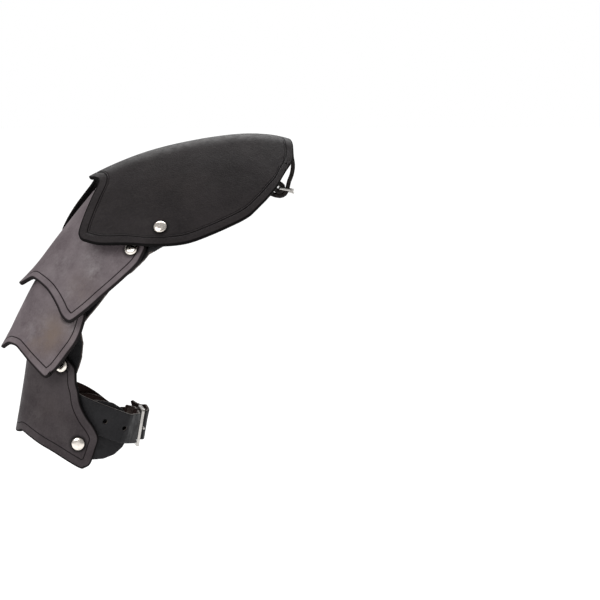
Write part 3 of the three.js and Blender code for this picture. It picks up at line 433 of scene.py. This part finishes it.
def noiseNode(nodes, links, where, scale, detail, rough):
    noise = nodes.new("ShaderNodeTexNoise")
    noise.inputs["Scale"].default_value = scale
    noise.inputs["Detail"].default_value = detail
    noise.inputs["Roughness"].default_value = rough
    links.new(where, noise.inputs["Vector"])
    return noise.outputs["Fac"]


# Moves a value from one range to another; the new bounds may be sockets
def rangeNode(nodes, links, value, low, high, newLow, newHigh):
    node = nodes.new("ShaderNodeMapRange")
    node.inputs["From Min"].default_value = low
    node.inputs["From Max"].default_value = high
    for name, bound in (("To Min", newLow), ("To Max", newHigh)):
        if isinstance(bound, bpy.types.NodeSocket):
            links.new(bound, node.inputs[name])
        else:
            node.inputs[name].default_value = bound
    links.new(value, node.inputs["Value"])
    return node.outputs["Result"]


# Mixes two colours; each input is a socket, a number or a colour
def mixColour(nodes, links, share, first, second):
    node = nodes.new("ShaderNodeMix")
    node.data_type = "RGBA"
    for value, socket in ((share, node.inputs[0]), (first, node.inputs[6]), (second, node.inputs[7])):
        if isinstance(value, bpy.types.NodeSocket):
            links.new(value, socket)
        elif isinstance(value, (int, float)):
            socket.default_value = value
        else:
            socket.default_value = (*value, 1)
    return node.outputs[2]


def attribute(nodes, name):
    node = nodes.new("ShaderNodeAttribute")
    node.attribute_name = name
    return node.outputs["Fac"]


# Noises of the leathers: scale, detail and roughness, and the two levels between which each sets in.
# The scale of the blotches is multiplied by the look's own.
leatherNoise = {
    "blotch": (1.0, 6.0, 0.62, 0.36, 0.64),
    "speckle": (520.0, 5.0, 0.7, 0.35, 0.72),
    "scuff": (95.0, 8.0, 0.75, 0.58, 0.76),
    "streak": (420.0, 7.0, 0.72, 0.56, 0.74),
    "warm": (48.0, 6.0, 0.65, 0.3, 0.6),
    "wornAndSheen": (120.0, 8.0, 0.72, 0.4, 0.66),
    "fray": (420.0, 6.0, 0.7, 0.35, 0.65),
    "gloss": (160.0, 5.0, 0.6, 0.3, 0.7),
}
# Marks on the leathers: the levels of a piece's own attribute between which each sets in
leatherMarks = {"tooled": (0.12, 0.7), "cutEdge": (0.2, 0.9)}
# Pebbled grain, bent by a warp, and creases over it, with depths in metres
leatherGrain = {
    "warpScale": 300.0, "warpReach": 0.0012, "depth": 0.0004,
    "crease": (130.0, 7.0, 0.65), "creaseDepth": 0.0012,
}


# Leather: mottled dye, pebbled grain, rubbed spots with painted highlights, brownish spots, dark tooled lines,
# burnished edges, and painted shadow round the rivets
def leatherMaterial(name, look):
    material, nodes, links, shader = newMaterial(name)
    where = nodes.new("ShaderNodeTexCoord").outputs["Object"]
    ranged = lambda value, *bounds: rangeNode(nodes, links, value, *bounds)
    mixed = lambda share, first, second: mixColour(nodes, links, share, first, second)
    mark = lambda kind, share: ranged(attribute(nodes, kind), *leatherMarks.get(kind, (0.0, 1.0)), 0.0, share)

    def patches(kind, most, least=0.0, place=where, grow=1.0):
        scale, detail, rough, low, high = leatherNoise[kind]
        noise = noiseNode(nodes, links, place, scale * grow, detail, rough)
        return ranged(noise, low, high, least, most)

    colour = mixed(patches("blotch", 1.0, grow=look["blotchScale"]), look["dark"], look["light"])
    colour = mixed(patches("speckle", look["speckle"]), colour, look["speckleColour"])
    colour = mixed(patches("scuff", look["scuff"]), colour, look["scuffAndSheenColour"])
    flat = nodes.new("ShaderNodeAttribute")
    flat.attribute_name = "flatPlace"
    stretch = nodes.new("ShaderNodeMapping")
    stretch.inputs["Scale"].default_value = (look["streakStretch"], 1.0, 1.0)
    links.new(flat.outputs["Vector"], stretch.inputs["Vector"])
    streak = patches("streak", look["streak"], place=stretch.outputs["Vector"])
    colour = mixed(streak, colour, look["scuffAndSheenColour"])
    colour = mixed(patches("warm", mark("warm", look["warmth"])), colour, look["warmColour"])
    # Rubbed spots and painted highlights: the plates' spots, broken up by noise, lighten towards the scuff
    # colour
    colour = mixed(patches("wornAndSheen", mark("wornAndSheen", look["wearAndSheen"])), colour, look["scuffAndSheenColour"])

    # Painted shadow: the colour darkens in a ring round each rivet cap, standing in for the cap's contact
    # shadow
    ring = ranged(attribute(nodes, "rivetGap"), look["rivetShadowFrom"], look["rivetShadowReach"], look["ring"], 0.0)
    colour = mixed(ring, colour, look["rimAndRivetShadowColour"])
    flesh = mark("flesh", look["fleshShare"])
    colour = mixed(flesh, colour, look["fleshColour"])
    tooled = mark("tooled", look["lineShare"])
    colour = mixed(tooled, colour, look["lineColour"])
    rim = ranged(attribute(nodes, "edgeGap"), look["rimFrom"], look["rimTo"], look["rimShare"], 0.0)
    colour = mixed(rim, colour, look["rimAndRivetShadowColour"])
    fray = mixed(patches("fray", 1.0), look["cutDark"], look["cutLight"])
    colour = mixed(mark("cutEdge", look["cutShare"]), colour, fray)
    links.new(colour, shader.inputs["Base Color"])

    rough = ranged(rim, 0.0, 1.0, patches("gloss", look["roughHigh"], look["roughLow"]), look["rimRough"])
    links.new(ranged(flesh, 0.0, 1.0, rough, look["fleshRough"]), shader.inputs["Roughness"])
    shine = ranged(rim, 0.0, 1.0, look["gloss"], look["rimGloss"])
    links.new(ranged(tooled, 0.0, 1.0, shine, look["rimGloss"]), shader.inputs["Specular IOR Level"])

    cells = nodes.new("ShaderNodeTexVoronoi")
    cells.feature = "SMOOTH_F1"
    cells.inputs["Scale"].default_value = look["grainScale"]
    warp = nodes.new("ShaderNodeVectorMath")
    warp.operation = "MULTIPLY_ADD"
    warpNoise = nodes.new("ShaderNodeTexNoise")
    warpNoise.inputs["Scale"].default_value = leatherGrain["warpScale"]
    links.new(where, warpNoise.inputs["Vector"])
    links.new(warpNoise.outputs["Color"], warp.inputs[0])
    warp.inputs[1].default_value = (leatherGrain["warpReach"],) * 3
    links.new(where, warp.inputs[2])
    links.new(warp.outputs[0], cells.inputs["Vector"])
    bump = nodes.new("ShaderNodeBump")
    bump.inputs["Strength"].default_value = look["grainStrength"]
    bump.inputs["Distance"].default_value = leatherGrain["depth"]
    links.new(cells.outputs["Distance"], bump.inputs["Height"])
    crease = nodes.new("ShaderNodeBump")
    crease.inputs["Strength"].default_value = look["creaseStrength"]
    crease.inputs["Distance"].default_value = leatherGrain["creaseDepth"]
    links.new(noiseNode(nodes, links, where, *leatherGrain["crease"]), crease.inputs["Height"])
    links.new(bump.outputs["Normal"], crease.inputs["Normal"])
    links.new(crease.outputs["Normal"], shader.inputs["Normal"])
    return material


# Looks of the leathers: change a colour or a share here to change the piece. Colours are linear.
# rim and ring distances are in mm, from the edge of a plate and from the middle of a rivet. The ring is
# painted shadow round each rivet cap.
blackLook = {
    "dark": (0.0078, 0.0061, 0.0066), "light": (0.0163, 0.0133, 0.014), "blotchScale": 26.0,
    "speckle": 0.35, "speckleColour": (0.031, 0.0265, 0.0265),
    # The scuff colour lightens rubbed spots and also paints highlights on the plates
    "scuff": 0.22, "scuffAndSheenColour": (0.05, 0.045, 0.043), "wearAndSheen": 0.7,
    "streak": 0.22, "streakStretch": 0.16,
    "warmth": 0.5, "warmColour": (0.022, 0.016, 0.014),
    "lineColour": (0.0022, 0.002, 0.002), "lineShare": 0.92,
    # The rim colour darkens the burnished edges and also paints the shadow round each rivet
    "rimFrom": 0.9, "rimTo": 1.9, "rimShare": 0.97, "rimAndRivetShadowColour": (0.0025, 0.0022, 0.0022),
    "rimGloss": 0.05, "rimRough": 0.75,
    # ring and its bounds: painted shadow round each rivet cap, in the rim colour
    "ring": 0.95, "rivetShadowFrom": 6.0, "rivetShadowReach": 9.4,
    "fleshColour": (0.009, 0.0075, 0.007), "fleshShare": 0.92, "fleshRough": 0.9,
    "roughLow": 0.42, "roughHigh": 0.58, "gloss": 0.1,
    "grainScale": 900.0, "grainStrength": 0.3, "creaseStrength": 0.2,
    "cutShare": 0.85, "cutDark": (0.035, 0.029, 0.026), "cutLight": (0.16, 0.135, 0.12),
}
greyLook = dict(
    blackLook, dark=(0.079, 0.062, 0.068), light=(0.134, 0.111, 0.118), blotchScale=34.0,
    # scuff colour of the lames: rubbed spots and painted highlights
    speckle=0.3, speckleColour=(0.158, 0.138, 0.143), scuff=0.3, scuffAndSheenColour=(0.22, 0.2, 0.203),
    streak=0.32, wearAndSheen=0.9, warmth=0.8, warmColour=(0.135, 0.1, 0.08),
    lineColour=(0.012, 0.0095, 0.01), lineShare=0.96,
    rimFrom=1.35, rimTo=2.2, rimAndRivetShadowColour=(0.009, 0.0075, 0.0078), fleshColour=(0.012, 0.01, 0.0098),
    roughLow=0.46, roughHigh=0.66, gloss=0.12,
)
armLook = dict(
    blackLook, dark=(0.027, 0.0215, 0.0235), light=(0.05, 0.042, 0.0445), speckleColour=(0.066, 0.056, 0.057),
    scuffAndSheenColour=(0.09, 0.08, 0.078), warmColour=(0.045, 0.034, 0.03), lineColour=(0.006, 0.005, 0.0052),
)
strapLook = dict(
    blackLook, dark=(0.0065, 0.0065, 0.0072), light=(0.0145, 0.0142, 0.0155),
    speckleColour=(0.028, 0.027, 0.028), fleshColour=(0.02, 0.011, 0.009),
    rimShare=0.0, ring=0.0, streak=0.0,
    grainScale=1300.0, roughLow=0.44, roughHigh=0.62, gloss=0.11,
)
neckLook = dict(strapLook, cutDark=(0.009, 0.0078, 0.0075), cutLight=(0.038, 0.033, 0.031))


# Looks of the metals: smear and scratch are noises, with scale, detail and roughness
nickelLook = {
    "dark": (0.64, 0.58, 0.52), "light": (0.87, 0.82, 0.76), "roughLow": 0.16, "roughHigh": 0.34,
    "smear": (180.0, 5.0, 0.6), "scratch": (700.0, 6.0, 0.7), "scratchFrom": 0.3, "scratchTo": 0.75,
    "bump": 0.08, "bumpDepth": 0.0003,
}
buckleLook = dict(
    nickelLook, dark=(0.3, 0.285, 0.27), light=(0.62, 0.6, 0.57), roughLow=0.14, roughHigh=0.36,
)


def metalMaterial(name, look):
    material, nodes, links, shader = newMaterial(name)
    where = nodes.new("ShaderNodeTexCoord").outputs["Object"]
    smear = noiseNode(nodes, links, where, *look["smear"])
    links.new(mixColour(nodes, links, smear, look["dark"], look["light"]), shader.inputs["Base Color"])
    shader.inputs["Metallic"].default_value = 1.0
    scratch = noiseNode(nodes, links, where, *look["scratch"])
    links.new(rangeNode(nodes, links, scratch, look["scratchFrom"], look["scratchTo"],
                        look["roughLow"], look["roughHigh"]), shader.inputs["Roughness"])
    bump = nodes.new("ShaderNodeBump")
    bump.inputs["Strength"].default_value = look["bump"]
    bump.inputs["Distance"].default_value = look["bumpDepth"]
    links.new(scratch, bump.inputs["Height"])
    links.new(bump.outputs["Normal"], shader.inputs["Normal"])
    return material


blackLeather = leatherMaterial("blackLeather", blackLook)
greyLeather = leatherMaterial("greyLeather", greyLook)
armLeather = leatherMaterial("armLeather", armLook)
strapLeather = leatherMaterial("strapLeather", strapLook)
neckLeather = leatherMaterial("neckLeather", neckLook)
nickel = metalMaterial("nickelPlate", nickelLook)
buckleMetal = metalMaterial("buckleMetal", buckleLook)
print("materials OK")


# Hangs a piece on the root and hides the nodes of the frame that it stands for. The slot is not used.
def putOn(piece, slot, *nodes):
    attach(piece, "root")
    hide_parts(*nodes)


plates = [
    ("shoulderLeaf", shoulder, blackLeather, "plate_leather", "shoulder_plate", 3),
    ("upperLameLeather", upper, greyLeather, "lame_leather", "upper_lame", 5),
    ("middleLameLeather", middle, greyLeather, "lame_leather", "middle_lame", 8),
    ("armPlateLeather", arm, armLeather, "plate_leather", "arm_plate", 12),
]
for name, plate, material, slot, node, seed in plates:
    putOn(makePlate(name, plate, material, seed), slot, node)
print("plates OK")

# Rivets: one instance of a domed cap, a shank and a foot at each place, in mm. The corners are rows
# of inset and rise.
rivetSizes = {
    "capRadius": 6.0, "capHeight": 2.6, "capRim": 0.5, "capCurve": 0.62, "capSteps": 12, "gap": 0.1,
    "rimCorner": [(0.25, 0), (0.06, 0.1), (0, 0.3)],
    "shankRadius": 1.8, "grip": 7.4, "footRadius": 4.5, "footHeight": 1.0,
    "footCorner": [(0.4, 0), (0.1, 0.15), (0, 0.5)],
    "sides": 48, "scale": 1.0,
}


# Radius and height of each point up a rivet's side
def rivetProfile(sizes):
    low, dome = sizes["gap"], sizes["capHeight"] - sizes["capRim"]
    cap = []
    for step in range(sizes["capSteps"]):
        angle = math.pi / 2 * step / sizes["capSteps"]
        cap.append((sizes["capRadius"] * math.cos(angle) ** sizes["capCurve"],
                    low + sizes["capRim"] + dome * math.sin(angle)))
    rim = [(sizes["capRadius"] - inset, low + rise) for inset, rise in sizes["rimCorner"]]
    top = -sizes["grip"] - sizes["gap"]
    under = top - sizes["footHeight"]
    foot = [(sizes["footRadius"] - inset, under + rise) for inset, rise in sizes["footCorner"]]
    shank = [(sizes["footRadius"], top), (sizes["shankRadius"], top), (sizes["shankRadius"], low)]
    return [(0.0, under)] + foot + shank + rim + cap + [(0.0, low + sizes["capHeight"])]


# Turns a profile round the Z axis into a closed shape
def lathe(name, profile, sides):
    verts, faces, rings = [], [], []
    for radius, height in profile:
        if radius < 1e-6:
            rings.append([len(verts)])
            verts.append((0, 0, height * mm))
            continue
        ring = []
        for side in range(sides):
            angle = 2 * math.pi * side / sides
            ring.append(len(verts))
            verts.append((radius * math.cos(angle) * mm, radius * math.sin(angle) * mm, height * mm))
        rings.append(ring)
    for low, high in zip(rings, rings[1:]):
        for side in range(sides):
            after = (side + 1) % sides
            if len(low) == 1:
                faces.append((low[0], high[after], high[side]))
            elif len(high) == 1:
                faces.append((low[side], low[after], high[0]))
            else:
                faces.append((low[side], low[after], high[after], high[side]))
    return addPiece(name, verts, faces)


# Geometry Nodes: puts a shape on every point, turned to the point's own direction
def scatterTree(name, shape, material):
    tree = bpy.data.node_groups.new(name, "GeometryNodeTree")
    tree.interface.new_socket("Geometry", in_out="INPUT", socket_type="NodeSocketGeometry")
    scale = tree.interface.new_socket("Shape Scale", in_out="INPUT", socket_type="NodeSocketFloat")
    scale.default_value = 1.0
    tree.interface.new_socket("Geometry", in_out="OUTPUT", socket_type="NodeSocketGeometry")
    add = tree.nodes.new
    source, result = add("NodeGroupInput"), add("NodeGroupOutput")
    toPoints = add("GeometryNodeMeshToPoints")
    info = add("GeometryNodeObjectInfo")
    info.inputs["Object"].default_value = shape
    facing = add("GeometryNodeInputNamedAttribute")
    facing.data_type = "FLOAT_VECTOR"
    facing.inputs["Name"].default_value = "facing"
    turn = add("FunctionNodeAlignRotationToVector")
    turn.axis = "Z"
    place = add("GeometryNodeInstanceOnPoints")
    realize = add("GeometryNodeRealizeInstances")
    paint = add("GeometryNodeSetMaterial")
    paint.inputs["Material"].default_value = material
    link = tree.links.new
    link(source.outputs["Geometry"], toPoints.inputs["Mesh"])
    link(toPoints.outputs["Points"], place.inputs["Points"])
    link(info.outputs["Geometry"], place.inputs["Instance"])
    link(facing.outputs["Attribute"], turn.inputs["Vector"])
    link(turn.outputs["Rotation"], place.inputs["Rotation"])
    link(source.outputs["Shape Scale"], place.inputs["Scale"])
    link(place.outputs["Instances"], realize.inputs["Geometry"])
    link(realize.outputs["Geometry"], paint.inputs["Geometry"])
    link(paint.outputs["Geometry"], result.inputs["Geometry"])
    return tree


# One mesh of a shape at every place, each a point and its direction. The shape itself is used up.
def scatter(name, places, shape, material, scale):
    points = addPiece(name + "Points", [Vector(point) * mm for point, normal in places], [], smooth=False)
    layer = points.data.attributes.new("facing", "FLOAT_VECTOR", "POINT")
    layer.data.foreach_set("vector", np.array([normal for point, normal in places], np.float32).ravel())
    tree = scatterTree(name + "Tree", shape, material)
    modifier = points.modifiers.new("scatter", "NODES")
    modifier.node_group = tree
    key = next(item.identifier for item in tree.interface.items_tree
               if item.name == "Shape Scale" and item.in_out == "INPUT")
    modifier[key] = scale
    ready = points.evaluated_get(bpy.context.evaluated_depsgraph_get())
    mesh = bpy.data.meshes.new_from_object(ready)
    piece = bpy.data.objects.new(name, mesh)
    bpy.context.scene.collection.objects.link(piece)
    bpy.data.objects.remove(points)
    bpy.data.objects.remove(shape)
    mesh.shade_smooth()
    return piece


rivetShape = lathe("rivetShape", rivetProfile(rivetSizes), rivetSizes["sides"])
rivets = scatter("domedRivets", [place for owner, place in rivetSpots], rivetShape, nickel,
                 rivetSizes["scale"])
rivetNodes = [f"rivet_{part}_{side}"
              for part in ("shoulder", "upper_lame", "middle_lame", "arm_upper", "arm_lower")
              for side in ("front", "back")]
putOn(rivets, "nickel", *rivetNodes)
print("rivets OK")


# Straps, tabs and buckles start from the solids' own shapes
def copyNode(node, name, material):
    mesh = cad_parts[node].data.copy()
    piece = bpy.data.objects.new(name, mesh)
    bpy.context.scene.collection.objects.link(piece)
    mesh.materials.clear()
    mesh.materials.append(material)
    faceOutward(mesh, mergeWithin=0.02 * mm)
    return piece


def applyModifiers(piece):
    ready = piece.evaluated_get(bpy.context.evaluated_depsgraph_get())
    done = bpy.data.meshes.new_from_object(ready)
    piece.modifiers.clear()
    piece.data = done
    done.shade_smooth()


# Moves every point out along its normal, in mm
def swell(mesh, distance):
    for vertex, normal in [(vertex, vertex.normal.copy()) for vertex in mesh.vertices]:
        vertex.co += normal * distance * mm


# Straps: voxel and probe in mm. Leather as deep behind a spot as cutDepth says shows that the spot
# lies on a cut edge, and fleshEdge is how sharply the rough side begins.
strapSizes = {
    "voxel": 0.55,
    "soften": 0.5,
    "softenSteps": 9,
    "probe": 0.2,
    "cutDepth": (4.5, 9.0),
    "fleshEdge": 4,
    "neckThicken": 0.45,
}


# A strap with softened edges. Its cut edges are marked, and so is its rough side, which faces an
# upright line through the spot or, for a loop that hangs in the XZ plane, a line along Y.
def makeSoftStrap(node, name, spot, free, material=strapLeather, thicken=0.0):
    piece = copyNode(node, name, material)
    swell(piece.data, thicken)
    remesh = piece.modifiers.new("remesh", "REMESH")
    remesh.mode = "VOXEL"
    remesh.voxel_size = strapSizes["voxel"] * mm
    soften = piece.modifiers.new("soften", "SMOOTH")
    soften.factor = strapSizes["soften"]
    soften.iterations = strapSizes["softenSteps"]
    applyModifiers(piece)
    tree = BVHTree.FromObject(piece, bpy.context.evaluated_depsgraph_get())
    thin, deep = strapSizes["cutDepth"]
    cuts, inners = [], []
    for vertex in piece.data.vertices:
        start = vertex.co - vertex.normal * strapSizes["probe"] * mm
        reach = tree.ray_cast(start, -vertex.normal)[3] or 0.0
        cuts.append((reach / mm - thin) / (deep - thin))
        inward = Vector(spot) * mm - vertex.co
        inward[free] = 0.0
        inners.append(0.5 + strapSizes["fleshEdge"] * vertex.normal.dot(inward.normalized()))
    setFloat(piece.data, "cutEdge", np.clip(cuts, 0, 1))
    setFloat(piece.data, "flesh", np.clip(inners, 0, 1))
    putOn(piece, "strap_leather", node)
    return piece


# Metal pieces: round of the edges in mm, its segments, and how much thinner than the solid
metalSizes = {
    "rivet": {"bevel": 0.25, "segments": 2, "thin": 0.0},
    "frame": {"bevel": 0.85, "segments": 4, "thin": 0.35},
    "prong": {"bevel": 0.2, "segments": 2, "thin": 0.0},
}
roundedAbove = 32  # degrees


def makeMetal(node, name, material, sizes):
    piece = copyNode(node, name, material)
    swell(piece.data, -sizes["thin"])
    edges = piece.modifiers.new("edges", "BEVEL")
    edges.width = sizes["bevel"] * mm
    edges.segments = sizes["segments"]
    edges.limit_method = "ANGLE"
    edges.angle_limit = math.radians(roundedAbove)
    applyModifiers(piece)
    putOn(piece, "nickel", node)
    return piece


# Spots that the rough sides face: the middle of the shoulder, of the arm and of the neck strap's loop
shoulderHeart, tabHeart, armHeart, neckHeart = (0, 0, 0), (-80, 0, 0), (-90, 0, 0), (85, 0, -18)
upright, sideways = 2, 1
for side in ("front", "back"):
    makeSoftStrap(f"articulation_strap_{side}", f"articulationStrapLeather_{side}", shoulderHeart, upright)
    makeSoftStrap(f"strap_tab_{side}", f"strapTabLeather_{side}", tabHeart, upright)
    makeMetal(f"tab_rivet_{side}", f"tabRivetMetal_{side}", nickel, metalSizes["rivet"])
for part in ("tongue", "holder"):
    makeSoftStrap(f"arm_strap_{part}", f"armStrapLeather_{part}", armHeart, upright)
    makeSoftStrap(f"neck_strap_{part}", f"neckStrapLeather_{part}", neckHeart, sideways, neckLeather,
                  strapSizes["neckThicken"])
makeMetal("neck_strap_post", "neckPostMetal", nickel, metalSizes["rivet"])
for strap in ("arm", "neck"):
    makeMetal(f"{strap}_buckle_frame", f"{strap}BuckleFrame", buckleMetal, metalSizes["frame"])
    makeMetal(f"{strap}_buckle_prong", f"{strap}BuckleProng", buckleMetal, metalSizes["prong"])
print("straps and buckles OK")

# Studio: a pale floor that runs to the horizon, a white backdrop and soft lights. Places are in
# metres, and the camera stands at the photograph's angle.
studio = {
    "floorHeight": -0.45,
    "floorReach": 40.0,
    "floorColour": (0.97, 0.97, 0.97),
    "floorRough": 0.9,
    "backdrop": 1.0,
    "roomLight": 0.42,
    "middle": (-0.05, 0, -0.12),
    "sunSpot": (0.15, 0.9, 1.1),
    "sunPower": 2.7,
    "sunSpread": 55.0,
    "keySpot": (-0.97, -0.86, 0.71),
    "keyPower": 15.0,
    "keySize": 0.9,
    "cameraSpot": (-0.2454, -1.5905, 0.0325),
    "azimuth": 12.4,
    "tilt": -6.3,
    "lens": 103.7,
    "sensor": 36,
}
reach = studio["floorReach"]
floorCorners = [(x * reach, y * reach, studio["floorHeight"]) for x, y in ((-1, -1), (1, -1), (1, 1), (-1, 1))]
floor = addPiece("floor", floorCorners, [(0, 1, 2, 3)])
floorPaint, _, _, floorShader = newMaterial("paleFloor")
floorShader.inputs["Base Color"].default_value = (*studio["floorColour"], 1)
floorShader.inputs["Roughness"].default_value = studio["floorRough"]
floor.data.materials.append(floorPaint)

# The camera sees the white backdrop, and the object is lit by a dimmer room
world = bpy.data.worlds.new("studioWorld")
world.use_nodes = True
worldNodes, worldLinks = world.node_tree.nodes, world.node_tree.links
room = worldNodes["Background"]
room.inputs["Color"].default_value = (1, 1, 1, 1)
room.inputs["Strength"].default_value = studio["roomLight"]
backdrop = worldNodes.new("ShaderNodeBackground")
backdrop.inputs["Color"].default_value = (1, 1, 1, 1)
backdrop.inputs["Strength"].default_value = studio["backdrop"]
chooser = worldNodes.new("ShaderNodeMixShader")
worldLinks.new(worldNodes.new("ShaderNodeLightPath").outputs["Is Camera Ray"], chooser.inputs["Fac"])
worldLinks.new(room.outputs["Background"], chooser.inputs[1])
worldLinks.new(backdrop.outputs["Background"], chooser.inputs[2])
worldLinks.new(chooser.outputs["Shader"], worldNodes["World Output"].inputs["Surface"])
bpy.context.scene.world = world
bpy.context.scene.view_settings.view_transform = "Standard"


# A light at a spot, turned to the middle of the object
def addLight(name, kind, spot, energy):
    data = bpy.data.lights.new(name, kind)
    data.energy = energy
    lamp = bpy.data.objects.new(name, data)
    lamp.location = spot
    lamp.rotation_euler = (Vector(studio["middle"]) - Vector(spot)).to_track_quat("-Z", "Y").to_euler()
    bpy.context.scene.collection.objects.link(lamp)
    return data


keyLight = addLight("keyLight", "AREA", studio["keySpot"], studio["keyPower"])
keyLight.size = studio["keySize"]
sun = addLight("skyLight", "SUN", studio["sunSpot"], studio["sunPower"])
sun.angle = math.radians(studio["sunSpread"])

camera = bpy.data.objects.new("camera", bpy.data.cameras.new("camera"))
camera.data.lens = studio["lens"]
camera.data.sensor_width = studio["sensor"]
camera.location = studio["cameraSpot"]
turn, tilt = math.radians(studio["azimuth"]), math.radians(studio["tilt"])
forward = Vector((math.sin(turn) * math.cos(tilt), math.cos(turn) * math.cos(tilt), math.sin(tilt)))
camera.rotation_euler = forward.to_track_quat("-Z", "Y").to_euler()
bpy.context.scene.collection.objects.link(camera)
bpy.context.scene.camera = camera
print("studio OK")
